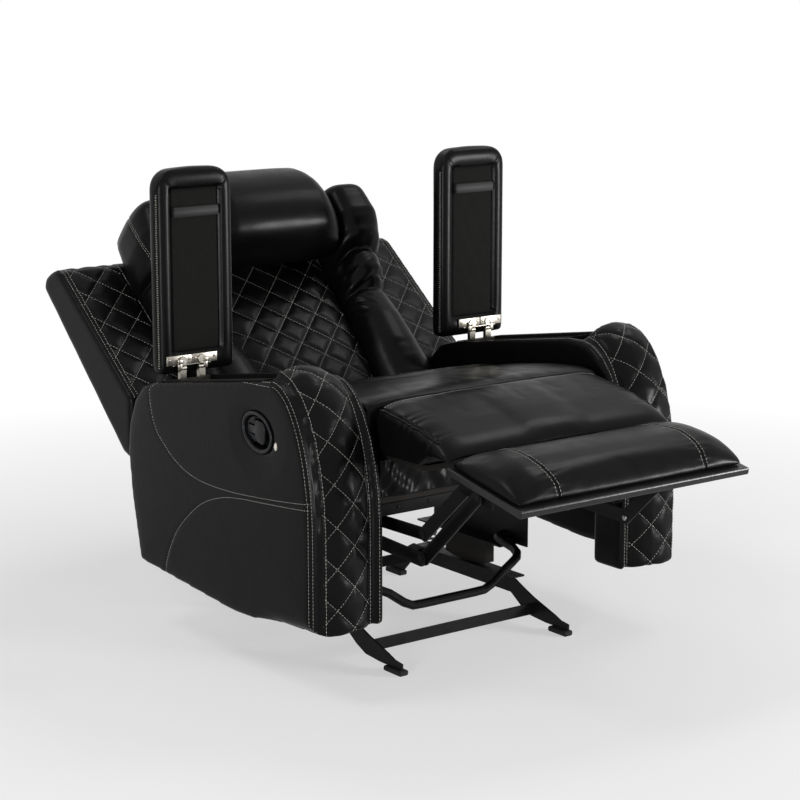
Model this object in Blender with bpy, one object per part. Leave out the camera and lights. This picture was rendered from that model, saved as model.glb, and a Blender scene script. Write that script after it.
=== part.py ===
"""Rocker recliner, reclined with its footrest out and both arm lids open.

Metres, +Z up. The chair faces -Y and the sitter's right hand is at -X. Side sizes are given in the
(y, z) plane of the chair's side view, where y = 0 is the front of the arms.
"""
import math

import bmesh
import bpy
from mathutils import Vector

for old in list(bpy.data.objects):
    bpy.data.objects.remove(old, do_unlink=True)

# Overall widths, measured from the middle plane to one side
ARM_OUTER_X = 0.495
ARM_INNER_X = 0.323
FIT_GAP = 0.0003
RUN_GAP = 0.002
CUT_OVERRUN = 0.010

# Arm, side view
ARM_DEPTH = 0.727
ARM_HEIGHT = 0.660
ARM_FOOT_FRONT_Z = 0.146
ARM_FOOT_LOW_Z = 0.129
ARM_FOOT_LOW_Y = 0.300
ARM_FOOT_REAR_Y = 0.683
ARM_FOOT_REAR_Z = 0.158
ARM_REAR_KNEE_Y = 0.715
ARM_REAR_KNEE_Z = 0.300
ARM_REAR_MAX_Z = 0.400
ARM_SHOULDER_Y = 0.610
ARM_SHOULDER_Z = 0.572
ARM_ARC_DEPTH = 0.150
ARM_ARC_HEIGHT = 0.310
ARM_ARC_STEPS = 7
ARM_BEVEL = 0.008
OUTER_PANEL_THICK = 0.0145
INNER_PANEL_THICK = 0.022
INNER_PANEL_LOW_Z = 0.300
POST_DEPTH = 0.095
PAD_THICK = 0.045
PAD_CROWN = 0.013
PAD_ACROSS_SHARES = (0.0, 0.08, 0.25, 0.45, 0.65, 0.85, 1.0)
PAD_LIFT_SHARES = (-1.45, -0.70, 0.30, 0.85, 1.0, 0.60, 0.0)
INNER_EDGE_DROP = 0.019
HUMP_END_Y = 0.158
REAR_PAD_THICK = 0.020

# Storage compartment in each arm
BOX_FRONT_Y = 0.200
BOX_OUTER_X = 0.460
BOX_WALL = 0.008
BOX_RIM_THICK = 0.012
BOX_FLOOR_Z = 0.425
RIM_DROP = 0.003

# Arm lid, open and upright
LID_CLOSED_SLOPE = math.radians(6.2)
LID_AXIS_Y = 0.597
LID_AXIS_Z = 0.597
LID_FACE_OFFSET = 0.003
LID_FOOT_OFFSET = 0.006
LID_WIDTH = 0.190
LID_HEIGHT = 0.429
LID_THICK = 0.045
LID_CORNER = 0.034
LID_CORNER_STEPS = 5
LID_ARCH = 0.006
LID_OUTER_X = 0.4795
LID_BEVEL = 0.010
LID_RECESS_WIDTH = 0.122
LID_RECESS_DEPTH = 0.009
LID_RECESS_FOOT = 0.030
LID_RECESS_HEAD = 0.046
HINGE_MIDDLE_X = 0.4025
HINGE_PLATE_WIDTH = 0.048
HINGE_PLATE_HEIGHT = 0.022
HINGE_PLATE_THICK = 0.0025
HINGE_CUP_RADIUS = 0.010
HINGE_CUP_DEPTH = 0.006
HINGE_ARM_WIDTH = 0.016
HINGE_ARM_LENGTH = 0.042
HINGE_ARM_HALF = 0.004
HINGE_FOOT_HEIGHT = 0.018

# Back, as reclined: its face line runs through TOP at an angle to the floor
BACK_ANGLE = math.radians(37.7)
BACK_TOP_Y = 1.065
BACK_TOP_Z = 0.764
BACK_HALF_WIDTH = 0.475
BACK_EDGE_ROUND = 0.018
BACK_EDGE_SHARES = (0.965, 0.991, 1.0, 1.0, 0.991, 0.965)
BACK_HEAD_SHARES = ((-0.18, 0.0), (0.07, -0.10), (0.24, -0.37), (0.37, -0.71), (0.27, -1.0))
BACK_TAIL_HALF_WIDTH = 0.276
BACK_TAIL_END = 0.580
BACK_TAIL_START = 0.380
BACK_TAIL_THICK = 0.100
WING_FOOT = 0.413
WING_FOOT_Z = 0.368
WING_FOOT_REAR_Y = 0.776
WING_FOOT_RISE = 0.012
WING_THICK_TOP = 0.082
WING_THICK_LOW = 0.127
WING_THICK_LOW_AT = 0.455
RECLINE_AXIS_Y = 0.620
RECLINE_AXIS_Z = 0.430
BRACKET_EAR = 0.020
BRACKET_REACH = 0.470
CENTRE_PAD_TOP_HALF = 0.2085
CENTRE_PAD_LOW_HALF = 0.142
CENTRE_PAD_END = 0.560
CENTRE_PAD_HEAD = 0.100
CENTRE_PAD_THICK = 0.046
EDGE_SHARE = 0.45
QUILT_PITCH = 0.085
QUILT_DEPTH = 0.006
QUILT_CELLS = 4
BOLSTER_FOOT = 0.500
BOLSTER_OUTER_X = 0.314
EAR_OUTER_X = 0.344
EAR_INNER_X = 0.218
BOLSTER_THICK = 0.090
BOLSTER_GAP = 0.003
BOLSTER_WAIST = 0.203
BOLSTER_CREASE = 0.022
BOLSTER_SQUARE_SHARE = 0.55
BOLSTER_AROUND = 14
EAR_FOOT = 0.108
EAR_HEAD = 0.036
EAR_THICK = 0.200
EAR_LEAN = 0.070
EAR_LEAN_SHARE = 0.65
PILLOW_HALF_LENGTH = 0.2175
PILLOW_ALONG = 0.125
PILLOW_PROUD = 0.098
PILLOW_S = 0.035
PILLOW_N = 0.149
PILLOW_AROUND = 18
PILLOW_ACROSS_SHARES = (-1.0, -0.975, -0.90, -0.76, -0.40, 0.0, 0.40, 0.76, 0.90, 0.975, 1.0)
PILLOW_SIZE_SHARES = (0.60, 0.80, 0.93, 0.98, 1.0, 1.0, 1.0, 0.98, 0.93, 0.80, 0.60)

# Seat
SEAT_HALF_WIDTH = 0.318
SEAT_FRONT_Y = 0.070
SEAT_FRONT_TOP_Z = 0.600
SEAT_REAR_Y = 0.600
SEAT_REAR_RAKE = 0.022
SEAT_TOP_SHARES = ((0.0, 0.96), (0.07, 1.0), (0.24, 0.935), (0.45, 0.79), (0.65, 0.61), (0.82, 0.44),
                   (0.93, 0.30), (0.98, 0.22), (1.0, 0.10))
SEAT_ACROSS_SHARES = (-1.0, -0.985, -0.95, -0.85, -0.60, -0.30, 0.0, 0.30, 0.60, 0.85, 0.95, 0.985, 1.0)
SEAT_KEEP_SHARES = (0.80, 0.89, 0.945, 0.975, 0.992, 1.0, 1.0, 1.0, 0.992, 0.975, 0.945, 0.89, 0.80)
RAIL_FRONT_Y = 0.069
RAIL_THICK = 0.021
RAIL_FOOT_Z = 0.355
RAIL_HEAD_Z = 0.4742
REAR_RAIL_Y = 0.560
REAR_RAIL_HEAD_Z = 0.407
DECK_WIRE = 0.003
DECK_BARS = 7
DECK_BAR_WIDTH = 0.012

# Steel side plates and the linkage layers outward from the middle
STEEL = 0.004
PLATE_FRONT_Y = 0.095
PLATE_FOOT_Z = 0.262
PLATE_HEAD_Z = 0.380
PLATE_CHAMFER = 0.040
PIVOT_EAR = 0.022
SEAT_PLATE_X = 0.283
LINK_PITCH = 0.006
FRAME_PLATE_X = 0.2885
PIN_RADIUS = 0.0045
PIN_HEAD_RADIUS = 0.0075
PIN_HEAD_THICK = 0.0012
PIN_SIDES = 12
LINK_HALF_WIDTH = 0.010
LINK_END_STEPS = 6
LOWER_PIVOT = (0.170, 0.300)
CONTROL_PIVOT = (0.140, 0.331)
LOWER_LENGTH = 0.235
CONTROL_LENGTH = 0.187
CARRIAGE_TRAVEL = 0.055
STUD_RADIUS = 0.006

# Footrest, as raised: along its board from the bracket pivot
FOOT_PIVOT = (-0.235, 0.452)
FOOT_TILT = math.radians(11.0)
FOOT_HALF_WIDTH = 0.303
FOOT_PAD_HALF_WIDTH = 0.298
FOOT_BOARD_REAR = 0.072
FOOT_BOARD_FRONT = 0.160
FOOT_BOARD_DROP = 0.0243
FOOT_BOARD_THICK = 0.015
FOOT_SECOND_PIVOT = 0.049
FOOT_PAD_THICK = 0.051
FOOT_CREST_SHARES = ((0.01, 0.20), (0.12, 0.46), (0.22, 0.72), (0.31, 0.90), (0.525, 1.0), (0.675, 0.98),
                     (0.79, 0.80), (0.89, 0.51), (0.942, 0.20), (0.93, 0.0), (0.62, 0.0), (0.31, 0.0), (0.02, 0.0))
FOOT_PAD_KEEP_SHARES = (0.62, 0.82, 0.93, 0.98, 1.0, 1.0, 1.0, 0.98, 0.93, 0.82, 0.62)
BRACKET_FOOT = 0.012
BRACKET_FRONT = 0.040
BRACKET_REAR = 0.062
BRACKET_FLANGE = 0.022

# Chaise flap between seat and footrest
CHAISE_HALF_WIDTH = 0.300
CHAISE_AXIS_Y = 0.0687
CHAISE_AXIS_Z = 0.4745
CHAISE_BOARD_FRONT_Y = -0.080
CHAISE_BOARD_THICK = 0.012
CHAISE_BOARD_HALF_WIDTH = 0.280
CHAISE_LIP_Y = -0.170
CHAISE_PAD_THICK = 0.111
CHAISE_TOP_SHARES = ((0.0, 1.0), (0.153, 0.98), (0.405, 0.875), (0.615, 0.767), (0.803, 0.63), (0.93, 0.53),
                     (0.992, 0.42))
CHAISE_UNDER_SHARES = ((0.98, 0.335), (0.887, 0.285), (0.748, 0.243), (0.656, 0.145), (0.614, 0.0), (0.0, 0.0))
CHAISE_KEEP_SHARES = (0.80, 0.88, 0.93, 0.965, 0.99, 1.0, 0.99, 0.965, 0.93, 0.88, 0.80)
CUSHION_ACROSS_SHARES = (-1.0, -0.985, -0.94, -0.80, -0.40, 0.0, 0.40, 0.80, 0.94, 0.985, 1.0)

# Rocker and base
ROCK_AXIS_Y = 0.440
ROCK_AXIS_Z = 0.440
TRACK_TOP_Z = 0.0885
CAM_X = 0.238
CAM_THICK = 0.024
CAM_HALF_LENGTH = 0.075
CAM_HEAD_Z = 0.145
CAM_STEPS = 8
FRAME_FLANGE_FRONT_Y = 0.315
FRAME_FLANGE_REAR_Y = 0.625
FRAME_WEB_FRONT_Y = 0.280
FRAME_WEB_SHOULDER = 0.060
FRAME_WEB_RAKE = 0.040
CARRIAGE_STUD_FRONT_Y = 0.330
CARRIAGE_STUD_SPACING = 0.170
CARRIAGE_STUD_Z = 0.285
FRAME_WEB_HEAD_Z = 0.345
ARM_MOUNT_Z = 0.318
RAIL_WEB_X = 0.228
RAIL_FLANGE_WIDTH = 0.040
RAIL_FLANGE_FRONT_Y = 0.262
RAIL_FLANGE_REAR_Y = 0.620
RAIL_DEPTH = 0.034
RAIL_TOE_Y = 0.064
RAIL_HEEL_Y = 0.722
RAIL_FRONT_SHARES = ((0.0, 0.0), (0.0, 0.18), (0.13, 0.22), (0.24, 0.33), (0.42, 0.48), (0.60, 0.63), (0.78, 0.82),
                     (0.93, 1.0))
RAIL_FRONT_UNDER_SHARES = ((0.82, 0.25), (0.65, 0.055), (0.38, 0.0))
RAIL_REAR_SHARES = ((0.90, 1.0), (0.61, 0.78), (0.22, 0.34), (0.0, 0.18), (0.0, 0.0), (0.53, 0.0), (0.80, 0.36))
FOOT_HEIGHT = 0.0117
FOOT_WIDTH = 0.024
SOLE_OVERHANG = 0.004
SOLE_FRONT_LENGTH = 0.056
SOLE_REAR_LENGTH = 0.060
CROSSBAR_Y = 0.185
CROSSBAR_FOOT_Z = 0.0216
CROSSBAR_HEIGHT = 0.0255
CROSSBAR_THICK = 0.004
REAR_CROSSBAR_Y = 0.600
REAR_CROSSBAR_FOOT_Z = 0.056
TUBE_RADIUS = 0.010
TUBE_SIDES = 12
TUBE_FRONT_Y = 0.200
TUBE_REAR_Y = 0.352
TUBE_LOW_Z = 0.097
TUBE_HIGH_Z = 0.163
# Route of the dipped tube from the middle to one side: shares of its reach in x, y and z
TUBE_ROUTE_SHARES = ((0.0, 0.0, 0.0), (0.21, 0.0, 0.0), (0.364, 0.0, 0.03), (0.486, 0.0, 0.35),
                     (0.59, 0.013, 0.65), (0.704, 0.085, 0.82), (0.784, 0.30, 0.92), (0.826, 0.66, 0.985),
                     (0.864, 0.89, 1.0), (0.93, 0.987, 1.0), (1.0, 1.0, 1.0))
TUBE_POINTS = 33
SPRING_Y = 0.590
SPRING_COIL_RADIUS = 0.015
SPRING_WIRE_RADIUS = 0.0022
SPRING_TURNS = 5
SPRING_POINTS_PER_TURN = 10
SPRING_SIDES = 6

# Recline handle, on the sitter's right
HANDLE_Y = 0.200
HANDLE_Z = 0.534
HANDLE_LONG = 0.052
HANDLE_HIGH = 0.038
HANDLE_TILT = math.radians(-14.0)
HANDLE_STEPS = 40
HANDLE_AXIS_X = 0.490
HANDLE_AXIS_Y = 0.238
BEZEL_WALL = 0.005
BEZEL_DEPTH = 0.030
BEZEL_FLOOR = 0.003
PADDLE_THICK = 0.005
PADDLE_LONG = 0.034
PADDLE_HIGH = 0.0205
PADDLE_SINK = 0.0025
PADDLE_SHIFT = 0.0055
PADDLE_SQUARE_SHARE = 0.60
PADDLE_PIN_RADIUS = 0.002

BACK_ALONG = Vector((0.0, math.cos(BACK_ANGLE), math.sin(BACK_ANGLE)))
BACK_OUT = Vector((0.0, -math.sin(BACK_ANGLE), math.cos(BACK_ANGLE)))
FOOT_ALONG = Vector((0.0, -math.cos(FOOT_TILT), -math.sin(FOOT_TILT)))
FOOT_UP = Vector((0.0, -math.sin(FOOT_TILT), math.cos(FOOT_TILT)))
CARRIAGE_STUDS_Y = (CARRIAGE_STUD_FRONT_Y, CARRIAGE_STUD_FRONT_Y + CARRIAGE_STUD_SPACING)
SIDES = (("right", -1), ("left", 1))

MATERIALS = {}
BODIES = {}


def material(name, colour, roughness, metallic=0.0):
    """A Principled material, made once for each name."""
    if name not in MATERIALS:
        made = bpy.data.materials.new(name)
        made.use_nodes = True
        shader = made.node_tree.nodes["Principled BSDF"]
        shader.inputs["Base Color"].default_value = (*colour, 1.0)
        shader.inputs["Roughness"].default_value = roughness
        shader.inputs["Metallic"].default_value = metallic
        made.diffuse_color = (*colour, 1.0)
        MATERIALS[name] = made
    return MATERIALS[name]


def body(name, y, z, parent, x=0.0):
    """An empty on a joint's axis, which carries every piece of one moving body."""
    empty = bpy.data.objects.new(name, None)
    bpy.context.scene.collection.objects.link(empty)
    pivot = Vector((x, y, z))
    base = Vector((0.0, 0.0, 0.0))
    if parent:
        empty.parent = BODIES[parent][0]
        base = BODIES[parent][1]
    empty.location = pivot - base
    BODIES[name] = (empty, pivot)


def make(name, part_body, look, mesh_data):
    """Turn a bmesh into a named piece, with its origin on its body's joint axis."""
    empty, pivot = BODIES[part_body]
    bmesh.ops.remove_doubles(mesh_data, verts=mesh_data.verts, dist=0.00001)
    bmesh.ops.recalc_face_normals(mesh_data, faces=mesh_data.faces)
    bmesh.ops.translate(mesh_data, verts=mesh_data.verts, vec=-pivot)
    mesh = bpy.data.meshes.new(name)
    mesh_data.to_mesh(mesh)
    mesh_data.free()
    piece = bpy.data.objects.new(name, mesh)
    bpy.context.scene.collection.objects.link(piece)
    piece.parent = empty
    mesh.materials.append(look)
    return piece


def rings_mesh(rings):
    """A closed body lofted through rings of points, with both ends filled."""
    data = bmesh.new()
    rows = [[data.verts.new(point) for point in ring] for ring in rings]
    count = len(rings[0])
    for row, following in zip(rows, rows[1:]):
        for step in range(count):
            after = (step + 1) % count
            data.faces.new((row[step], row[after], following[after], following[step]))
    data.faces.new(rows[0])
    data.faces.new(rows[-1])
    return data


def prism(outline, x_start, x_end):
    """An outline in the side view, given thickness along X."""
    return rings_mesh([[(x, y, z) for y, z in outline] for x in (x_start, x_end)])


def block(low, high):
    """A box between two corners."""
    outline = [(low[1], low[2]), (high[1], low[2]), (high[1], high[2]), (low[1], high[2])]
    return prism(outline, low[0], high[0])


def cylinder(y, z, radius, x_start, x_end, sides=PIN_SIDES):
    """A round bar along X."""
    turns = [2 * math.pi * step / sides for step in range(sides)]
    return prism([(y + radius * math.cos(a), z + radius * math.sin(a)) for a in turns], x_start, x_end)


def bevel(piece, width, segments=2):
    """Round the sharp edges of a piece."""
    made = piece.modifiers.new("rounded edges", "BEVEL")
    made.width = width
    made.segments = segments
    made.limit_method = "ANGLE"
    made.angle_limit = math.radians(40.0)


def combine(piece, tool_mesh, operation):
    """Join a mesh to a piece, or cut it away, and keep the result."""
    empty, pivot = next(entry for entry in BODIES.values() if entry[0] == piece.parent)
    bmesh.ops.recalc_face_normals(tool_mesh, faces=tool_mesh.faces)
    bmesh.ops.translate(tool_mesh, verts=tool_mesh.verts, vec=-pivot)
    mesh = bpy.data.meshes.new("tool")
    tool_mesh.to_mesh(mesh)
    tool_mesh.free()
    tool = bpy.data.objects.new("tool", mesh)
    bpy.context.scene.collection.objects.link(tool)
    tool.parent = empty
    step = piece.modifiers.new("combine", "BOOLEAN")
    step.operation = operation
    step.solver = "EXACT"
    step.object = tool
    bpy.context.view_layer.update()
    evaluated = piece.evaluated_get(bpy.context.evaluated_depsgraph_get())
    result = bpy.data.meshes.new_from_object(evaluated)
    piece.modifiers.clear()
    piece.data = result
    bpy.data.objects.remove(tool, do_unlink=True)


def back_point(s, n, x=0.0):
    """A point of the back: s up its face from the wings' top edge, n out of its face."""
    top = Vector((x, BACK_TOP_Y, BACK_TOP_Z))
    return top + s * BACK_ALONG + n * BACK_OUT


def foot_point(along, up, x=0.0):
    """A point of the footrest, from its bracket pivot."""
    return Vector((x, *FOOT_PIVOT)) + along * FOOT_ALONG + up * FOOT_UP


def side_view(points):
    """The (y, z) of a list of points."""
    return [(point.y, point.z) for point in points]


def ellipse(y, z, half_y, half_z, start, end, steps):
    """Points on an ellipse in the side view, from one angle to another, in degrees."""
    angles = [math.radians(start + (end - start) * step / steps) for step in range(steps + 1)]
    return [(y + half_y * math.cos(a), z + half_z * math.sin(a)) for a in angles]


def inward(outline, distance):
    """An open side-view line moved sideways, towards its right hand."""
    moved = []
    for index, (y, z) in enumerate(outline):
        before = outline[max(index - 1, 0)]
        after = outline[min(index + 1, len(outline) - 1)]
        run = Vector((after[0] - before[0], after[1] - before[1])).normalized()
        moved.append((y + run.y * distance, z - run.x * distance))
    return moved


def sweep_x(profile, stations, keep_shares):
    """Rings across X of one side-view profile, drawn towards its middle near both ends.

    stations are distances from the middle plane and keep_shares gives the size kept at each.
    """
    middle_y = sum(y for y, z in profile) / len(profile)
    middle_z = sum(z for y, z in profile) / len(profile)
    rings = []
    for x, keep in zip(stations, keep_shares):
        rings.append([(x, middle_y + (y - middle_y) * keep, middle_z + (z - middle_z) * keep) for y, z in profile])
    return rings


def rim_line(y):
    """Height of the arm's rim at y: it meets the closed lid."""
    rise = (ARM_HEIGHT - ARM_SHOULDER_Z) / (ARM_SHOULDER_Y - ARM_ARC_DEPTH)
    return min(ARM_HEIGHT - (y - ARM_ARC_DEPTH) * rise, lid_plane(y) - RIM_DROP)


def lid_plane(y):
    """Height of the closed lid's underside at y."""
    return LID_AXIS_Z + LID_FACE_OFFSET + (LID_AXIS_Y - y) * math.tan(LID_CLOSED_SLOPE)


LEATHER = material("black bonded leather", (0.012, 0.012, 0.013), 0.38)
LINING = material("black non-woven lining", (0.015, 0.015, 0.015), 0.95)
STEEL_BLACK = material("black painted steel", (0.018, 0.018, 0.019), 0.45, 0.3)
NICKEL = material("nickel plated steel", (0.62, 0.60, 0.57), 0.3, 1.0)
RUBBER = material("black rubber", (0.02, 0.02, 0.02), 0.8)
PLASTIC = material("black moulded ABS", (0.02, 0.02, 0.021), 0.35)
TIMBER = material("sawn pine", (0.45, 0.32, 0.19), 0.7)
BOARD_WRAP = material("black board wrap", (0.02, 0.02, 0.021), 0.5)
SPRING_STEEL = material("spring steel", (0.25, 0.25, 0.26), 0.35, 1.0)


def linkage(points_lower, reach, length_a, length_b):
    """The elbow of a two-bar chain that hangs below the line between its ends."""
    start = Vector(points_lower)
    end = Vector(reach)
    span = end - start
    angle = math.atan2(span.y, span.x)
    cosine = (length_a ** 2 + span.length ** 2 - length_b ** 2) / (2 * length_a * span.length)
    angle = angle + math.acos(max(-1.0, min(1.0, cosine)))
    return (start.x + length_a * math.cos(angle), start.y + length_a * math.sin(angle))


FOOT_SECOND = side_view([foot_point(-FOOT_SECOND_PIVOT, 0.0)])[0]
LOWER_ELBOW = linkage(LOWER_PIVOT, FOOT_PIVOT, LOWER_LENGTH, LOWER_LENGTH)
CONTROL_REACH = Vector(FOOT_SECOND) - Vector(CONTROL_PIVOT)
CONTROL_SECOND_LENGTH = 0.189
CONTROL_ELBOW = linkage(CONTROL_PIVOT, FOOT_SECOND, CONTROL_LENGTH, CONTROL_SECOND_LENGTH)

body("floor_base", 0.0, 0.0, None)
body("rocker_frame", ROCK_AXIS_Y, ROCK_AXIS_Z, "floor_base")
body("seat_carriage", RECLINE_AXIS_Y, RAIL_FOOT_Z, "rocker_frame")
body("back", RECLINE_AXIS_Y, RECLINE_AXIS_Z, "seat_carriage")
body("chaise_flap", CHAISE_AXIS_Y, CHAISE_AXIS_Z, "seat_carriage")
body("handle_lever", HANDLE_AXIS_Y, HANDLE_Z, "rocker_frame", -HANDLE_AXIS_X)
for side, sign in SIDES:
    body("lid_" + side, LID_AXIS_Y, LID_AXIS_Z, "rocker_frame")
    body("lower_links_" + side, *LOWER_PIVOT, "seat_carriage")
    body("upper_links_" + side, *LOWER_ELBOW, "lower_links_" + side)
    body("control_links_" + side, *CONTROL_PIVOT, "seat_carriage")
    body("follower_links_" + side, *CONTROL_ELBOW, "control_links_" + side)
body("footrest", *FOOT_PIVOT, "upper_links_right")


def arm_front_line(top_y, drop=0.0):
    """The arm's front, from its foot up and over to top_y, in the side view."""
    arc_centre_z = ARM_HEIGHT - ARM_ARC_HEIGHT
    line = [(0.0, ARM_FOOT_FRONT_Z)]
    line += ellipse(ARM_ARC_DEPTH, arc_centre_z, ARM_ARC_DEPTH, ARM_ARC_HEIGHT - drop, 180, 90, ARM_ARC_STEPS)
    if top_y > ARM_ARC_DEPTH:
        line.append((top_y, ARM_HEIGHT - drop))
    return line


def arm_rear_line():
    """The arm's rear, from its shoulder down to its rear foot, in the side view."""
    shoulder_steps = 4
    line = ellipse(ARM_SHOULDER_Y, ARM_REAR_MAX_Z, ARM_DEPTH - ARM_SHOULDER_Y,
                   ARM_SHOULDER_Z - ARM_REAR_MAX_Z, 90, 0, shoulder_steps)
    return line + [(ARM_REAR_KNEE_Y, ARM_REAR_KNEE_Z), (ARM_FOOT_REAR_Y, ARM_FOOT_REAR_Z)]


def arm_outline(drop=0.0):
    """The whole arm in the side view: front, top, rear and the foot's shallow curve."""
    outline = arm_front_line(ARM_ARC_DEPTH, drop)
    outline.append((BOX_FRONT_Y, rim_line(BOX_FRONT_Y)))
    outline.append((LID_AXIS_Y - HINGE_ARM_HALF, rim_line(LID_AXIS_Y - HINGE_ARM_HALF)))
    outline += arm_rear_line()
    outline.append((ARM_FOOT_LOW_Y, ARM_FOOT_LOW_Z))
    return outline


def make_arm(side, sign):
    """One arm: outer and inner panels, front and rear pads and the storage compartment."""
    outline = arm_outline()
    outer_inside = ARM_OUTER_X - OUTER_PANEL_THICK
    outer = make("arm_outer_panel_" + side, "rocker_frame", LEATHER,
                 prism(outline, sign * outer_inside, sign * ARM_OUTER_X))
    if side == "right":
        combine(outer, handle_outline(0.0, outer_inside - CUT_OVERRUN, ARM_OUTER_X + CUT_OVERRUN), "DIFFERENCE")
    else:
        bevel(outer, ARM_BEVEL)

    inner_outside = ARM_INNER_X + INNER_PANEL_THICK
    inner_outline = [point for point in arm_outline(INNER_EDGE_DROP) if point[1] > INNER_PANEL_LOW_Z + FIT_GAP]
    inner_outline = [(0.0, ARM_FOOT_FRONT_Z)] + inner_outline
    inner_outline.append((ARM_REAR_KNEE_Y, INNER_PANEL_LOW_Z))
    inner_outline += [(POST_DEPTH, INNER_PANEL_LOW_Z), (POST_DEPTH, ARM_FOOT_FRONT_Z)]
    inner = make("arm_inner_panel_" + side, "rocker_frame", LEATHER,
                 prism(inner_outline, sign * ARM_INNER_X, sign * inner_outside))
    bevel(inner, ARM_BEVEL)

    pad_inside = inner_outside + FIT_GAP
    pad_outside = outer_inside - FIT_GAP
    front = arm_front_line(HUMP_END_Y)
    under = inward(front, PAD_THICK)
    rings = []
    for share, lift_share in zip(PAD_ACROSS_SHARES, PAD_LIFT_SHARES):
        crown = inward(front, -lift_share * PAD_CROWN)
        x = sign * (pad_inside + (pad_outside - pad_inside) * share)
        rings.append([(x, y, z) for y, z in crown + under[::-1]])
    make("arm_front_pad_" + side, "rocker_frame", LEATHER, rings_mesh(rings))

    rear = arm_rear_line()[1:]
    rear_under = inward(rear, REAR_PAD_THICK)
    make("arm_rear_pad_" + side, "rocker_frame", LEATHER,
         prism(rear + rear_under[::-1], sign * pad_inside, sign * pad_outside))

    inside_rear_y = LID_AXIS_Y + LID_FOOT_OFFSET
    box_rear_y = inside_rear_y + BOX_WALL
    rim = [(box_rear_y, rim_line(box_rear_y)), (BOX_FRONT_Y, rim_line(BOX_FRONT_Y))]
    box_outline = [(BOX_FRONT_Y, BOX_FLOOR_Z), (box_rear_y, BOX_FLOOR_Z)] + rim
    compartment = make("storage_box_" + side, "rocker_frame", LINING,
                       prism(box_outline, sign * pad_inside, sign * BOX_OUTER_X))
    lip = rim + [(y, z - BOX_RIM_THICK) for y, z in rim[::-1]]
    combine(compartment, prism(lip, sign * (BOX_OUTER_X - BOX_WALL), sign * pad_outside), "UNION")
    ends = sorted((sign * (pad_inside + BOX_WALL), sign * (BOX_OUTER_X - BOX_WALL)))
    combine(compartment, block((ends[0], BOX_FRONT_Y + BOX_WALL, BOX_FLOOR_Z + BOX_WALL),
                               (ends[1], inside_rear_y, ARM_HEIGHT + CUT_OVERRUN)), "DIFFERENCE")


def lid_outline(middle_x):
    """The open lid seen from the front: square foot, round arched head."""
    half = LID_WIDTH / 2
    foot = LID_AXIS_Z + LID_FOOT_OFFSET
    head = foot + LID_HEIGHT
    points = [(middle_x - half, foot), (middle_x + half, foot)]
    corner_z = head - LID_CORNER - LID_ARCH
    for step in range(LID_CORNER_STEPS + 1):
        angle = math.radians(90.0 * step / LID_CORNER_STEPS)
        across = half - LID_CORNER + LID_CORNER * math.cos(angle)
        arch = LID_ARCH * (1 - (across / half) ** 2)
        points.append((middle_x + across, corner_z + LID_CORNER * math.sin(angle) + arch))
    points.append((middle_x, head))
    mirrored = [(2 * middle_x - x, z) for x, z in points[2:-1]]
    return points + mirrored[::-1]


def make_lid(side, sign):
    """One arm lid, its lining recess and its pair of hinges."""
    middle = sign * (LID_OUTER_X - LID_WIDTH / 2)
    face_y = LID_AXIS_Y + LID_FACE_OFFSET
    foot = LID_AXIS_Z + LID_FOOT_OFFSET
    outline = lid_outline(middle)
    stations = [(face_y, 0.0), (face_y + LID_THICK - LID_BEVEL, 0.0), (face_y + LID_THICK, LID_BEVEL)]
    centre_z = foot + LID_HEIGHT / 2
    rings = []
    for y, draw_in in stations:
        keep_x = 1 - draw_in / (LID_WIDTH / 2)
        keep_z = 1 - draw_in / (LID_HEIGHT / 2)
        rings.append([(middle + (x - middle) * keep_x, y, centre_z + (z - centre_z) * keep_z) for x, z in outline])
    lid = make("arm_lid_" + side, "lid_" + side, LEATHER, rings_mesh(rings))
    recess_low = (middle - LID_RECESS_WIDTH / 2, face_y - CUT_OVERRUN, foot + LID_RECESS_FOOT)
    recess_high = (middle + LID_RECESS_WIDTH / 2, face_y + LID_RECESS_DEPTH, foot + LID_HEIGHT - LID_RECESS_HEAD)
    combine(lid, block(recess_low, recess_high), "DIFFERENCE")

    plate_back = face_y - FIT_GAP
    plate_front = plate_back - HINGE_PLATE_THICK
    hinge_x = sign * HINGE_MIDDLE_X
    cups = make("lid_hinge_cups_" + side, "lid_" + side, NICKEL,
                block((hinge_x - HINGE_PLATE_WIDTH, plate_front, foot),
                      (hinge_x + HINGE_PLATE_WIDTH, plate_back, foot + HINGE_PLATE_HEIGHT)))
    knuckle = LID_FOOT_OFFSET - FIT_GAP
    arm_foot = LID_AXIS_Z - HINGE_ARM_LENGTH
    arms = make("lid_hinge_arms_" + side, "rocker_frame", NICKEL,
                block((hinge_x - HINGE_PLATE_WIDTH, LID_AXIS_Y, arm_foot),
                      (hinge_x + HINGE_PLATE_WIDTH, LID_AXIS_Y + knuckle, arm_foot + HINGE_FOOT_HEIGHT)))
    for offset in (-HINGE_PLATE_WIDTH / 2, HINGE_PLATE_WIDTH / 2):
        centre = (hinge_x + offset, foot + HINGE_PLATE_HEIGHT / 2)
        combine(cups, disc_y(centre, HINGE_CUP_RADIUS, plate_front - HINGE_CUP_DEPTH, plate_back), "UNION")
        strap_low = (hinge_x + offset - HINGE_ARM_WIDTH / 2, LID_AXIS_Y - HINGE_ARM_HALF, arm_foot)
        strap_high = (hinge_x + offset + HINGE_ARM_WIDTH / 2, LID_AXIS_Y + knuckle, LID_AXIS_Z)
        combine(arms, block(strap_low, strap_high), "UNION")
        combine(arms, cylinder(LID_AXIS_Y, LID_AXIS_Z, knuckle, strap_low[0], strap_high[0]), "UNION")


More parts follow.
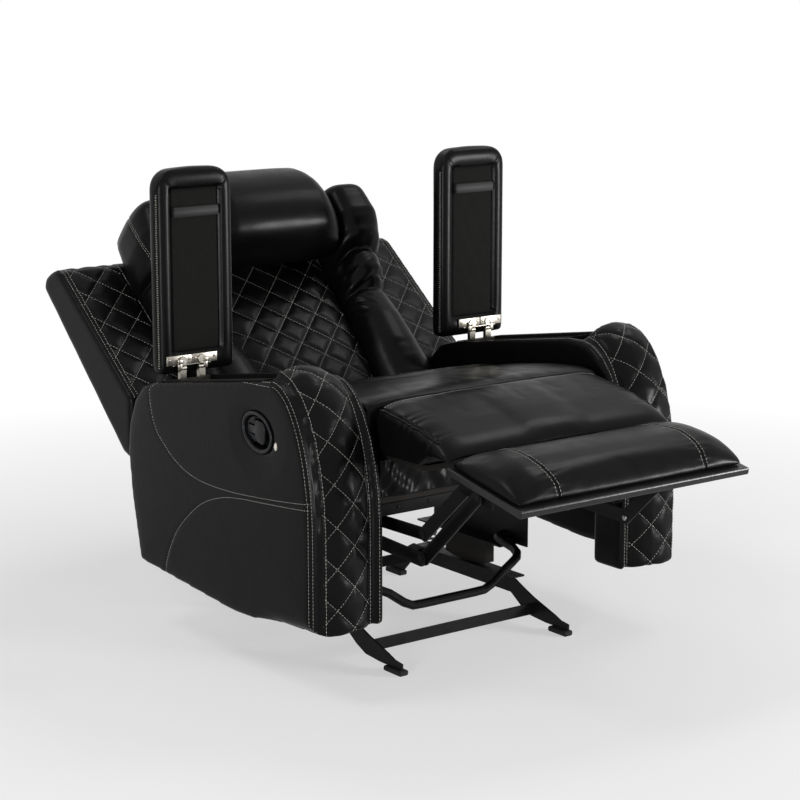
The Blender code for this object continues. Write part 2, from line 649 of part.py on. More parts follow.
def disc_y(centre, radius, y_start, y_end):
    """A round boss along Y."""
    turns = [2 * math.pi * step / PIN_SIDES for step in range(PIN_SIDES)]
    rings = [[(centre[0] + radius * math.cos(a), y, centre[1] + radius * math.sin(a)) for a in turns]
             for y in (y_start, y_end)]
    return rings_mesh(rings)


def tilted(y, z):
    """A side-view point near the handle, turned with the handle's tilt."""
    turned_y = y * math.cos(HANDLE_TILT) + z * math.sin(HANDLE_TILT)
    turned_z = -y * math.sin(HANDLE_TILT) + z * math.cos(HANDLE_TILT)
    return (HANDLE_Y + turned_y, HANDLE_Z + turned_z)


def handle_outline(draw_in, x_start, x_end):
    """The handle's tilted oval, between two distances from the middle plane, on the right side."""
    turns = [2 * math.pi * step / HANDLE_STEPS for step in range(HANDLE_STEPS)]
    points = [tilted(-(HANDLE_LONG - draw_in) * math.cos(a), (HANDLE_HIGH - draw_in) * math.sin(a)) for a in turns]
    return prism(points, -x_start, -x_end)


def bowl_span(offset):
    """Lowest and highest z inside the bezel's bowl, from its middle, at a distance along y."""
    half_long = HANDLE_LONG - BEZEL_WALL
    half_high = HANDLE_HIGH - BEZEL_WALL
    sine = math.sin(HANDLE_TILT)
    cosine = math.cos(HANDLE_TILT)
    square = (sine / half_long) ** 2 + (cosine / half_high) ** 2
    middle = offset * sine * cosine * (1 / half_high ** 2 - 1 / half_long ** 2)
    rest = (offset * cosine / half_long) ** 2 + (offset * sine / half_high) ** 2 - 1
    root = math.sqrt(middle ** 2 - square * rest)
    return (-middle - root) / square, (-middle + root) / square


def make_handle():
    """The recessed bezel in the right arm and the paddle that is pulled to release the footrest."""
    floor_x = ARM_OUTER_X - BEZEL_DEPTH
    bezel = make("recline_handle_bezel", "rocker_frame", PLASTIC,
                 handle_outline(FIT_GAP, floor_x, ARM_OUTER_X - FIT_GAP))
    combine(bezel, handle_outline(BEZEL_WALL, floor_x + BEZEL_FLOOR, ARM_OUTER_X + CUT_OVERRUN), "DIFFERENCE")
    outer_x = ARM_OUTER_X - PADDLE_SINK
    outline = []
    for step in range(HANDLE_STEPS):
        angle = 2 * math.pi * step / HANDLE_STEPS
        reach = Vector((-math.cos(angle), math.sin(angle)))
        square = max(abs(reach.x), abs(reach.y)) ** PADDLE_SQUARE_SHARE
        outline.append(tilted(PADDLE_SHIFT + PADDLE_LONG * reach.x / square,
                              PADDLE_HIGH * reach.y / square))
    paddle = make("recline_handle", "handle_lever", PLASTIC, prism(outline, -(outer_x - PADDLE_THICK), -outer_x))
    spans = [bowl_span(HANDLE_AXIS_Y - HANDLE_Y + offset) for offset in (-PADDLE_PIN_RADIUS, PADDLE_PIN_RADIUS)]
    ends = (max(span[0] for span in spans) + 2 * FIT_GAP, min(span[1] for span in spans) - 2 * FIT_GAP)
    pin = [Vector((-HANDLE_AXIS_X, HANDLE_AXIS_Y, HANDLE_Z + reach)) for reach in ends]
    combine(paddle, bar_along(pin, PADDLE_PIN_RADIUS, PIN_SIDES), "UNION")


def shell_profile():
    """The upper back in the side view: face, rounded head, back panel and the foot of the wings."""
    head_points = [back_point(s * WING_THICK_TOP, n * WING_THICK_TOP) for s, n in BACK_HEAD_SHARES]
    low_rear = back_point(-WING_THICK_LOW_AT, -WING_THICK_LOW)
    face_foot = back_point(-WING_FOOT, 0.0)
    foot = [(WING_FOOT_REAR_Y, WING_FOOT_Z + WING_FOOT_RISE), (face_foot.y + RUN_GAP, WING_FOOT_Z)]
    return side_view(head_points + [low_rear]) + foot + [(face_foot.y + RUN_GAP, face_foot.z)]


def centre_pad_half(s):
    """Half width of the quilted centre pad at s."""
    share = (s + CENTRE_PAD_END) / (CENTRE_PAD_END - CENTRE_PAD_HEAD)
    return CENTRE_PAD_LOW_HALF + (CENTRE_PAD_TOP_HALF - CENTRE_PAD_LOW_HALF) * share


def make_back():
    """The back: padded shell, quilted centre, side bolsters, headrest pillow and steel brackets."""
    profile = shell_profile()
    edge = BACK_HALF_WIDTH - BACK_EDGE_ROUND
    soft = BACK_HALF_WIDTH - BACK_EDGE_ROUND / 4
    widths = [-BACK_HALF_WIDTH, -soft, -edge, edge, soft, BACK_HALF_WIDTH]
    shell = make("back_shell", "back", LEATHER, rings_mesh(sweep_x(profile, widths, BACK_EDGE_SHARES)))
    tail = [back_point(-BACK_TAIL_START, -FIT_GAP), back_point(-BACK_TAIL_END, -FIT_GAP)]
    tail += [back_point(-BACK_TAIL_END, -BACK_TAIL_THICK), back_point(-BACK_TAIL_START, -BACK_TAIL_THICK)]
    combine(shell, prism(side_view(tail), -BACK_TAIL_HALF_WIDTH, BACK_TAIL_HALF_WIDTH), "UNION")

    length = CENTRE_PAD_END - CENTRE_PAD_HEAD
    quarter = QUILT_PITCH / QUILT_CELLS
    rows = round(length / quarter)
    columns = round(2 * CENTRE_PAD_TOP_HALF / quarter)
    rings = []
    for row in range(rows + 1):
        share = row / rows
        s = -CENTRE_PAD_END + length * share
        half = centre_pad_half(s)
        ring = []
        for column in range(columns + 1):
            across = 2 * column / columns - 1
            crown = (1 - across ** 4) * (1 - (2 * share - 1) ** 6)
            wave_a = abs(math.sin(math.pi * (s + across * half) / QUILT_PITCH))
            wave_b = abs(math.sin(math.pi * (s - across * half) / QUILT_PITCH))
            puff = QUILT_DEPTH * min(wave_a, wave_b)
            thick = CENTRE_PAD_THICK * (EDGE_SHARE + (1 - EDGE_SHARE) * crown) + puff * crown
            ring.append(back_point(s, FIT_GAP + thick, across * half))
        ring += [back_point(s, FIT_GAP, half), back_point(s, FIT_GAP, -half)]
        rings.append(ring)
    make("back_centre_pad", "back", LEATHER, rings_mesh(rings))

    crease = BOLSTER_CREASE
    rest = EAR_OUTER_X - BOLSTER_OUTER_X
    # Each row: distance down the back, inset of the inner edge, outer edge, thickness, outward lean
    stations = [
        (BOLSTER_FOOT, 2 * BOLSTER_GAP, BOLSTER_OUTER_X, 0.55 * BOLSTER_THICK, 0.0),
        (0.94 * BOLSTER_FOOT, BOLSTER_GAP, BOLSTER_OUTER_X, 0.89 * BOLSTER_THICK, 0.0),
        (0.80 * BOLSTER_FOOT, BOLSTER_GAP, BOLSTER_OUTER_X, 0.98 * BOLSTER_THICK, 0.0),
        (0.60 * BOLSTER_FOOT, BOLSTER_GAP, BOLSTER_OUTER_X, BOLSTER_THICK, 0.0),
        (BOLSTER_WAIST + crease, BOLSTER_GAP, BOLSTER_OUTER_X, 0.93 * BOLSTER_THICK, 0.0),
        (BOLSTER_WAIST, 2 * BOLSTER_GAP, BOLSTER_OUTER_X - 0.12 * rest, 0.78 * BOLSTER_THICK, 0.0),
        (BOLSTER_WAIST - crease, BOLSTER_GAP, BOLSTER_OUTER_X + 0.12 * rest, 1.11 * BOLSTER_THICK, 0.0),
        (BOLSTER_WAIST - 2.4 * crease, BOLSTER_GAP, BOLSTER_OUTER_X + 0.4 * rest, 1.31 * BOLSTER_THICK, 0.15),
        (EAR_FOOT + crease, BOLSTER_GAP, BOLSTER_OUTER_X + 0.46 * rest, 1.35 * BOLSTER_THICK, 0.3),
        (EAR_FOOT, 3 * BOLSTER_GAP, BOLSTER_OUTER_X + 0.36 * rest, 1.22 * BOLSTER_THICK, 0.45),
        (EAR_FOOT - crease, 0.0, BOLSTER_OUTER_X + 0.67 * rest, 0.75 * EAR_THICK, 0.7),
        (0.46 * EAR_FOOT, 0.0, EAR_OUTER_X, 0.94 * EAR_THICK, 0.9),
        (0.10 * EAR_FOOT, 0.0, EAR_OUTER_X, EAR_THICK, 1.0),
        (-0.34 * EAR_HEAD, BOLSTER_GAP, EAR_OUTER_X - 0.16 * rest, 0.98 * EAR_THICK, 1.0),
        (-0.78 * EAR_HEAD, 2 * BOLSTER_GAP, EAR_OUTER_X - 0.55 * rest, 0.88 * EAR_THICK, 0.9),
        (-EAR_HEAD, 4 * BOLSTER_GAP, EAR_OUTER_X - 1.05 * rest, 0.74 * EAR_THICK, 0.7),
    ]
    around = BOLSTER_AROUND
    for side, sign in SIDES:
        rings = []
        for down, inset, x_outer, thick, lean_share in stations:
            x_inner = inset + (centre_pad_half(-down) if down > EAR_FOOT else EAR_INNER_X)
            ring = []
            for step in range(around):
                angle = 2 * math.pi * step / around
                reach = Vector((math.cos(angle), math.sin(angle)))
                square = max(abs(reach.x), abs(reach.y)) ** BOLSTER_SQUARE_SHARE
                x = (x_inner + x_outer) / 2 + (x_outer - x_inner) / 2 * reach.x / square
                n = FIT_GAP + thick / 2 * (1 + max(-1.0, min(1.0, reach.y / square)))
                x = max(x_inner, min(x_outer, x))
                base_share = max(0.0, 1 - n / (EAR_LEAN_SHARE * thick)) * (x - x_inner) / (x_outer - x_inner)
                ring.append(back_point(-down, n, sign * (x - EAR_LEAN * lean_share * base_share)))
            rings.append(ring)
        make("side_bolster_" + side, "back", LEATHER, rings_mesh(rings))

    around = PILLOW_AROUND
    rings = []
    for share, size in zip(PILLOW_ACROSS_SHARES, PILLOW_SIZE_SHARES):
        ring = []
        for step in range(around):
            angle = 2 * math.pi * step / around
            s = -PILLOW_S + PILLOW_ALONG * size * math.cos(angle)
            n = PILLOW_N + PILLOW_PROUD * size * math.sin(angle)
            ring.append(back_point(s, n, PILLOW_HALF_LENGTH * share))
        rings.append(ring)
    make("headrest_pillow", "back", LEATHER, rings_mesh(rings))

    for side, sign in SIDES:
        x_in = sign * (BACK_TAIL_HALF_WIDTH + FIT_GAP)
        x_out = sign * (BACK_TAIL_HALF_WIDTH + FIT_GAP + STEEL)
        around_axis = ellipse(RECLINE_AXIS_Y, RECLINE_AXIS_Z, BRACKET_EAR, BRACKET_EAR, 100, 290, LINK_END_STEPS)
        reach = side_view([back_point(-BRACKET_REACH, -0.7 * BACK_TAIL_THICK),
                           back_point(-BRACKET_REACH, -0.2 * BACK_TAIL_THICK)])
        bracket = make("recline_bracket_" + side, "back", STEEL_BLACK, prism(around_axis + reach, x_in, x_out))
        rivet(bracket, (RECLINE_AXIS_Y, RECLINE_AXIS_Z), x_in, SEAT_PLATE_X + STEEL, sign)


def rivet(piece, centre, x_from, x_plate_out, sign):
    """A pin on a piece that runs through the plate beyond it and is headed over outside it."""
    x_end = sign * (x_plate_out + RUN_GAP / 4)
    combine(piece, cylinder(*centre, PIN_RADIUS, x_from, x_end + sign * PIN_HEAD_THICK), "UNION")
    combine(piece, cylinder(*centre, PIN_HEAD_RADIUS, x_end, x_end + sign * PIN_HEAD_THICK), "UNION")


def hole(piece, centre, x_low, x_high, radius=PIN_RADIUS):
    """A running hole through a plate."""
    clear = radius + FIT_GAP
    combine(piece, cylinder(*centre, clear, x_low - CUT_OVERRUN / 4, x_high + CUT_OVERRUN / 4), "DIFFERENCE")


def link_shape(start, end, half_width=LINK_HALF_WIDTH):
    """A flat bar with round ends between two pivots."""
    angle = math.degrees(math.atan2(end[1] - start[1], end[0] - start[0]))
    points = ellipse(*start, half_width, half_width, angle + 90, angle + 270, LINK_END_STEPS)
    return points + ellipse(*end, half_width, half_width, angle - 90, angle + 90, LINK_END_STEPS)


def layer(number, sign):
    """The near and far X of one linkage layer, counted inward from the seat plate."""
    outer = SEAT_PLATE_X - number * LINK_PITCH + STEEL
    return sign * (outer - STEEL), sign * outer


def make_linkage(side, sign):
    """The four bars that carry the footrest on one side, and its bracket."""
    plate_out = SEAT_PLATE_X + STEEL
    lower_in, lower_out = layer(1, sign)
    upper_in, upper_out = layer(2, sign)
    bracket_in, bracket_out = layer(3, sign)
    follower_in, follower_out = layer(4, sign)
    control_in, control_out = layer(5, sign)

    lower = make("lower_link_" + side, "lower_links_" + side, STEEL_BLACK,
                 prism(link_shape(LOWER_PIVOT, LOWER_ELBOW), lower_in, lower_out))
    rivet(lower, LOWER_PIVOT, lower_in, plate_out, sign)
    hole(lower, LOWER_ELBOW, min(lower_in, lower_out), max(lower_in, lower_out))

    upper = make("upper_link_" + side, "upper_links_" + side, STEEL_BLACK,
                 prism(link_shape(LOWER_ELBOW, FOOT_PIVOT), upper_in, upper_out))
    rivet(upper, LOWER_ELBOW, upper_in, abs(lower_out), sign)
    hole(upper, FOOT_PIVOT, min(upper_in, upper_out), max(upper_in, upper_out))

    control = make("control_link_" + side, "control_links_" + side, STEEL_BLACK,
                   prism(link_shape(CONTROL_PIVOT, CONTROL_ELBOW), control_in, control_out))
    rivet(control, CONTROL_PIVOT, control_in, plate_out, sign)
    rivet(control, CONTROL_ELBOW, control_in, abs(follower_out), sign)

    follower = make("follower_link_" + side, "follower_links_" + side, STEEL_BLACK,
                    prism(link_shape(CONTROL_ELBOW, FOOT_SECOND), follower_in, follower_out))
    hole(follower, CONTROL_ELBOW, min(follower_in, follower_out), max(follower_in, follower_out))

    outline = [foot_point(-BRACKET_REAR, -BRACKET_FOOT), foot_point(BRACKET_FRONT, -BRACKET_FOOT),
               foot_point(BRACKET_FRONT, FOOT_BOARD_DROP - FIT_GAP),
               foot_point(-BRACKET_REAR, FOOT_BOARD_DROP - FIT_GAP)]
    bracket = make("footrest_bracket_" + side, "footrest", STEEL_BLACK,
                   prism(side_view(outline), bracket_in, bracket_out))
    flange_foot = FOOT_BOARD_DROP - FIT_GAP - STEEL
    flange = [foot_point(-BRACKET_REAR, flange_foot), foot_point(BRACKET_FRONT, flange_foot),
              foot_point(BRACKET_FRONT, FOOT_BOARD_DROP - FIT_GAP),
              foot_point(-BRACKET_REAR, FOOT_BOARD_DROP - FIT_GAP)]
    combine(bracket, prism(side_view(flange), bracket_in, bracket_in - sign * BRACKET_FLANGE), "UNION")
    rivet(bracket, FOOT_PIVOT, bracket_in, abs(upper_out), sign)


def make_footrest():
    """The padded footrest on its wrapped board, and the chaise flap behind it."""
    board = [foot_point(-FOOT_BOARD_REAR, FOOT_BOARD_DROP), foot_point(FOOT_BOARD_FRONT, FOOT_BOARD_DROP),
             foot_point(FOOT_BOARD_FRONT, FOOT_BOARD_DROP + FOOT_BOARD_THICK),
             foot_point(-FOOT_BOARD_REAR, FOOT_BOARD_DROP + FOOT_BOARD_THICK)]
    piece = make("footrest_board", "footrest", BOARD_WRAP,
                 prism(side_view(board), -FOOT_HALF_WIDTH, FOOT_HALF_WIDTH))
    bevel(piece, FIT_GAP * 10)

    top = FOOT_BOARD_DROP + FOOT_BOARD_THICK + FIT_GAP
    length = FOOT_BOARD_FRONT + FOOT_BOARD_REAR
    profile = [foot_point(along * length - FOOT_BOARD_REAR, top + lift * FOOT_PAD_THICK)
               for along, lift in FOOT_CREST_SHARES]
    base = foot_point(0.0, top)
    rings = []
    for share, keep in zip(CUSHION_ACROSS_SHARES, FOOT_PAD_KEEP_SHARES):
        ring = []
        for point in profile:
            lift = (point - base).dot(FOOT_UP)
            flat = point - lift * FOOT_UP
            ring.append(flat + lift * keep * FOOT_UP + Vector((share * FOOT_PAD_HALF_WIDTH, 0.0, 0.0)))
        rings.append(ring)
    make("footrest_pad", "footrest", LEATHER, rings_mesh(rings))

    board_low = CHAISE_AXIS_Z
    board_high = board_low + CHAISE_BOARD_THICK
    make("chaise_board", "chaise_flap", TIMBER,
         block((-CHAISE_BOARD_HALF_WIDTH, CHAISE_BOARD_FRONT_Y, board_low),
               (CHAISE_BOARD_HALF_WIDTH, CHAISE_AXIS_Y, board_high)))
    under = board_high + FIT_GAP
    reach = CHAISE_AXIS_Y - CHAISE_LIP_Y
    rear = CHAISE_AXIS_Y - RUN_GAP
    top_line = [(rear - along * reach, under + lift * CHAISE_PAD_THICK) for along, lift in CHAISE_TOP_SHARES]
    under_line = [(rear - along * reach, under + lift * CHAISE_PAD_THICK) for along, lift in CHAISE_UNDER_SHARES]
    rings = []
    for share, keep in zip(CUSHION_ACROSS_SHARES, CHAISE_KEEP_SHARES):
        x = share * CHAISE_HALF_WIDTH
        crown = [(x, y, under + (z - under) * keep) for y, z in top_line]
        rings.append(crown + [(x, y, z) for y, z in under_line])
    make("chaise_pad", "chaise_flap", LEATHER, rings_mesh(rings))


def make_seat():
    """The seat: steel side plates, timber rails, wire deck and cushion."""
    for side, sign in SIDES:
        x_in = sign * SEAT_PLATE_X
        x_out = sign * (SEAT_PLATE_X + STEEL)
        outline = [(PLATE_FRONT_Y, PLATE_FOOT_Z + PLATE_CHAMFER), (PLATE_FRONT_Y + PLATE_CHAMFER, PLATE_FOOT_Z),
                   (REAR_RAIL_Y, PLATE_FOOT_Z), (RECLINE_AXIS_Y + PIVOT_EAR, PLATE_HEAD_Z + PLATE_CHAMFER / 2)]
        outline += ellipse(RECLINE_AXIS_Y, RECLINE_AXIS_Z, PIVOT_EAR, PIVOT_EAR, 0, 180, LINK_END_STEPS)
        outline += [(RECLINE_AXIS_Y - PIVOT_EAR - PLATE_CHAMFER / 4, PLATE_HEAD_Z), (PLATE_FRONT_Y, PLATE_HEAD_Z)]
        plate = make("seat_plate_" + side, "seat_carriage", STEEL_BLACK, prism(outline, x_in, x_out))
        low, high = sorted((x_in, x_out))
        for centre in (LOWER_PIVOT, CONTROL_PIVOT, (RECLINE_AXIS_Y, RECLINE_AXIS_Z)):
            hole(plate, centre, low, high)
        for stud_y in CARRIAGE_STUDS_Y:
            stud_end = sign * (FRAME_PLATE_X + STEEL + PIN_HEAD_THICK)
            combine(plate, cylinder(stud_y, CARRIAGE_STUD_Z, STUD_RADIUS, x_in, stud_end), "UNION")

    half = SEAT_PLATE_X - FIT_GAP
    make("seat_front_rail", "seat_carriage", TIMBER,
         block((-half, RAIL_FRONT_Y, RAIL_FOOT_Z), (half, RAIL_FRONT_Y + RAIL_THICK, RAIL_HEAD_Z)))
    make("seat_rear_rail", "seat_carriage", TIMBER,
         block((-half, REAR_RAIL_Y, RAIL_FOOT_Z), (half, REAR_RAIL_Y + RAIL_THICK, REAR_RAIL_HEAD_Z)))

    deck_front = RAIL_FRONT_Y + RAIL_THICK + FIT_GAP
    deck_low = REAR_RAIL_HEAD_Z + FIT_GAP
    deck_rear = REAR_RAIL_Y + RAIL_THICK
    deck_half = half - DECK_BAR_WIDTH
    deck = make("seat_spring_deck", "seat_carriage", SPRING_STEEL,
                block((-deck_half, deck_front, deck_low), (deck_half, deck_rear, deck_low + DECK_WIRE)))
    pitch_x = (2 * deck_half - DECK_BAR_WIDTH) / DECK_BARS
    for bar in range(DECK_BARS):
        start = -deck_half + DECK_BAR_WIDTH + bar * pitch_x
        combine(deck, block((start, deck_front + DECK_BAR_WIDTH, deck_low - CUT_OVERRUN),
                            (start + pitch_x - DECK_BAR_WIDTH, deck_rear - RAIL_THICK - DECK_BAR_WIDTH,
                             deck_low + CUT_OVERRUN)), "DIFFERENCE")

    floor = RAIL_HEAD_Z + RUN_GAP
    front = SEAT_FRONT_Y + RUN_GAP / 2
    depth = SEAT_REAR_Y - front
    thick = SEAT_FRONT_TOP_Z - floor
    top = [(front + along * depth, floor + lift * thick) for along, lift in SEAT_TOP_SHARES]
    behind_rail = RAIL_FRONT_Y + RAIL_THICK + RUN_GAP
    under = REAR_RAIL_HEAD_Z + FIT_GAP + DECK_WIRE + FIT_GAP
    drop = floor - under
    bottom = [(SEAT_REAR_Y - SEAT_REAR_RAKE, floor - drop * 0.40), (SEAT_REAR_Y - 2 * SEAT_REAR_RAKE, under),
              (behind_rail, under), (behind_rail, floor), (front, floor)]
    rings = []
    for share, keep in zip(SEAT_ACROSS_SHARES, SEAT_KEEP_SHARES):
        x = share * SEAT_HALF_WIDTH
        crown = [(x, y, floor + (z - floor) * keep) for y, z in top]
        rings.append(crown + [(x, y, z) for y, z in bottom])
    make("seat_cushion", "seat_carriage", LEATHER, rings_mesh(rings))


def make_frame():
    """What rocks with the arms: steel side frames, rocker cams and the dipped cross tube."""
    for side, sign in SIDES:
        x_in = sign * FRAME_PLATE_X
        x_out = sign * (FRAME_PLATE_X + STEEL)
        x_arm = sign * (ARM_INNER_X - FIT_GAP)
        flange_foot = CAM_HEAD_Z + FIT_GAP
        web = [(FRAME_WEB_FRONT_Y, flange_foot), (FRAME_FLANGE_REAR_Y, flange_foot),
               (FRAME_FLANGE_REAR_Y, flange_foot + FRAME_WEB_SHOULDER),
               (FRAME_FLANGE_REAR_Y - FRAME_WEB_RAKE, FRAME_WEB_HEAD_Z), (FRAME_WEB_FRONT_Y, FRAME_WEB_HEAD_Z)]
        frame = make("rocker_frame_" + side, "rocker_frame", STEEL_BLACK, prism(web, x_in, x_out))
        for stud_y in CARRIAGE_STUDS_Y:
            end_y = stud_y + CARRIAGE_TRAVEL
            slot = link_shape((stud_y, CARRIAGE_STUD_Z), (end_y, CARRIAGE_STUD_Z), STUD_RADIUS + FIT_GAP)
            combine(frame, prism(slot, x_in - sign * STEEL, x_out + sign * STEEL), "DIFFERENCE")
        ends = sorted((sign * CAM_X, x_arm))
        combine(frame, block((ends[0], FRAME_FLANGE_FRONT_Y, flange_foot),
                             (ends[1], FRAME_FLANGE_REAR_Y, flange_foot + STEEL)), "UNION")
        ends = sorted((x_in, x_arm))
        combine(frame, block((ends[0], FRAME_FLANGE_FRONT_Y, ARM_MOUNT_Z),
                             (ends[1], FRAME_FLANGE_REAR_Y - FRAME_WEB_RAKE, ARM_MOUNT_Z + STEEL)), "UNION")

        radius = ROCK_AXIS_Z - TRACK_TOP_Z - FIT_GAP
        reach = math.degrees(math.asin(CAM_HALF_LENGTH / radius))
        arc = ellipse(ROCK_AXIS_Y, ROCK_AXIS_Z, radius, radius, 270 - reach, 270 + reach, CAM_STEPS)
        cam = arc + [(ROCK_AXIS_Y + CAM_HALF_LENGTH, CAM_HEAD_Z), (ROCK_AXIS_Y - CAM_HALF_LENGTH, CAM_HEAD_Z)]
        make("rocker_cam_" + side, "rocker_frame", TIMBER, prism(cam, sign * CAM_X, sign * (CAM_X + CAM_THICK)))

    end_x = FRAME_PLATE_X - FIT_GAP
    half_route = [(across * end_x, TUBE_FRONT_Y + back * (TUBE_REAR_Y - TUBE_FRONT_Y),
                   TUBE_LOW_Z + up * (TUBE_HIGH_Z - TUBE_LOW_Z)) for across, back, up in TUBE_ROUTE_SHARES]
    route = [(-x, y, z) for x, y, z in half_route[:0:-1]] + half_route
    make("front_cross_tube", "rocker_frame", STEEL_BLACK, bar_along(smooth(route, TUBE_POINTS), TUBE_RADIUS, TUBE_SIDES))


def bar_along(points, radius, sides):
    """A round bar through a row of points, with closed ends."""
    rings = []
    across = None
    for index, point in enumerate(points):
        run = (points[min(index + 1, len(points) - 1)] - points[max(index - 1, 0)]).normalized()
        if across is None:
            across = run.orthogonal().normalized()
        across = (across - across.dot(run) * run).normalized()
        other = run.cross(across)
        turns = [2 * math.pi * step / sides for step in range(sides)]
        rings.append([point + radius * (math.cos(a) * across + math.sin(a) * other) for a in turns])
    return rings_mesh(rings)


def smooth(route, count):
    """Evenly counted points on a Catmull-Rom curve through a route."""
    knots = [Vector(route[0])] + [Vector(point) for point in route] + [Vector(route[-1])]
    spans = len(route) - 1
    points = []
    for index in range(count):
        place = spans * index / (count - 1)
        span = min(int(place), spans - 1)
        t = place - span
        a, b, c, d = knots[span:span + 4]
        value = 0.5 * ((2 * b) + (c - a) * t + (2 * a - 5 * b + 4 * c - d) * t ** 2
                       + (3 * b - a - 3 * c + d) * t ** 3)
        points.append(value)
    return points


def make_base():
    """The floor base: side rails on rubber feet, crossbars, and the rocker springs."""
    for side, sign in SIDES:
        x_in = sign * RAIL_WEB_X
        x_out = sign * (RAIL_WEB_X + STEEL)
        sole = FOOT_HEIGHT + FIT_GAP
        front_run = RAIL_FLANGE_FRONT_Y - RAIL_TOE_Y
        rear_run = RAIL_HEEL_Y - RAIL_FLANGE_REAR_Y
        rise = TRACK_TOP_Z - sole
        outline = [(RAIL_TOE_Y + along * front_run, sole + up * rise) for along, up in RAIL_FRONT_SHARES]
        outline += [(RAIL_HEEL_Y - along * rear_run, sole + up * rise) for along, up in RAIL_REAR_SHARES]
        outline += [(RAIL_FLANGE_REAR_Y, TRACK_TOP_Z - RAIL_DEPTH), (RAIL_FLANGE_FRONT_Y, TRACK_TOP_Z - RAIL_DEPTH)]
        outline += [(RAIL_TOE_Y + along * front_run, sole + up * rise) for along, up in RAIL_FRONT_UNDER_SHARES]
        rail = make("base_rail_" + side, "floor_base", STEEL_BLACK, prism(outline, x_in, x_out))
        ends = sorted((x_in, sign * (RAIL_WEB_X + RAIL_FLANGE_WIDTH)))
        combine(rail, block((ends[0], RAIL_FLANGE_FRONT_Y, TRACK_TOP_Z - STEEL),
                            (ends[1], RAIL_FLANGE_REAR_Y, TRACK_TOP_Z)), "UNION")
        foot_ends = sorted((sign * (RAIL_WEB_X - FOOT_WIDTH / 2), sign * (RAIL_WEB_X + FOOT_WIDTH / 2)))
        rear_pad_y = RAIL_HEEL_Y + SOLE_OVERHANG - SOLE_REAR_LENGTH
        for place, y_start, y_end in (("front", RAIL_TOE_Y - SOLE_OVERHANG, RAIL_TOE_Y + SOLE_FRONT_LENGTH),
                                      ("rear", rear_pad_y, RAIL_HEEL_Y + SOLE_OVERHANG)):
            pad = make("rubber_foot_" + place + "_" + side, "floor_base", RUBBER,
                       block((foot_ends[0], y_start, 0.0), (foot_ends[1], y_end, FOOT_HEIGHT)))
            bevel(pad, FOOT_HEIGHT / 4, 1)

        low = TRACK_TOP_Z + SPRING_WIRE_RADIUS + FIT_GAP
        high = CAM_HEAD_Z + FIT_GAP - SPRING_WIRE_RADIUS - FIT_GAP
        middle_x = sign * (CAM_X + CAM_THICK / 2)
        steps = SPRING_TURNS * SPRING_POINTS_PER_TURN
        coil = []
        for step in range(steps + 1):
            angle = 2 * math.pi * step / SPRING_POINTS_PER_TURN
            height = low + (high - low) * step / steps
            coil.append(Vector((middle_x + SPRING_COIL_RADIUS * math.cos(angle),
                                SPRING_Y + SPRING_COIL_RADIUS * math.sin(angle), height)))
        make("rocker_spring_" + side, "floor_base", SPRING_STEEL, bar_along(coil, SPRING_WIRE_RADIUS, SPRING_SIDES))

    half = RAIL_WEB_X - FIT_GAP
    for name, y, foot_z in (("front_crossbar", CROSSBAR_Y, CROSSBAR_FOOT_Z),
                            ("rear_crossbar", REAR_CROSSBAR_Y, REAR_CROSSBAR_FOOT_Z)):
        make(name, "floor_base", STEEL_BLACK,
             block((-half, y - CROSSBAR_THICK / 2, foot_z), (half, y + CROSSBAR_THICK / 2, foot_z + CROSSBAR_HEIGHT)))


def centre_over_origin():
    """Move the whole chair so that its box is centred over the origin, on the floor."""
    bpy.context.view_layer.update()
    graph = bpy.context.evaluated_depsgraph_get()
    places = []
    for piece in bpy.context.scene.objects:
        if piece.type == "MESH":
            evaluated = piece.evaluated_get(graph)
            mesh = evaluated.to_mesh()
            places += [(piece.matrix_world @ vertex.co).y for vertex in mesh.vertices]
            evaluated.to_mesh_clear()
    shift = -(min(places) + max(places)) / 2
    BODIES["floor_base"][0].location.y = shift
    print("chair moved along Y by, mm:", round(shift * 1000, 3))


for side, sign in SIDES:
    make_arm(side, sign)
    make_lid(side, sign)
    make_linkage(side, sign)
make_handle()
make_back()
make_footrest()
make_seat()
make_frame()
make_base()
centre_over_origin()
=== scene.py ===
"""Looks of a rocker recliner: black bonded leather, pale stitching and a steel mechanism.

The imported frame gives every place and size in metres. Side-view places are written as (y, z), where
y = 0 is the front of the arms, and the sitter's right hand is at -X.
"""
import math

import bmesh
import bpy
import numpy as np
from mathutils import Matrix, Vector
from mathutils.bvhtree import BVHTree
from mathutils.kdtree import KDTree


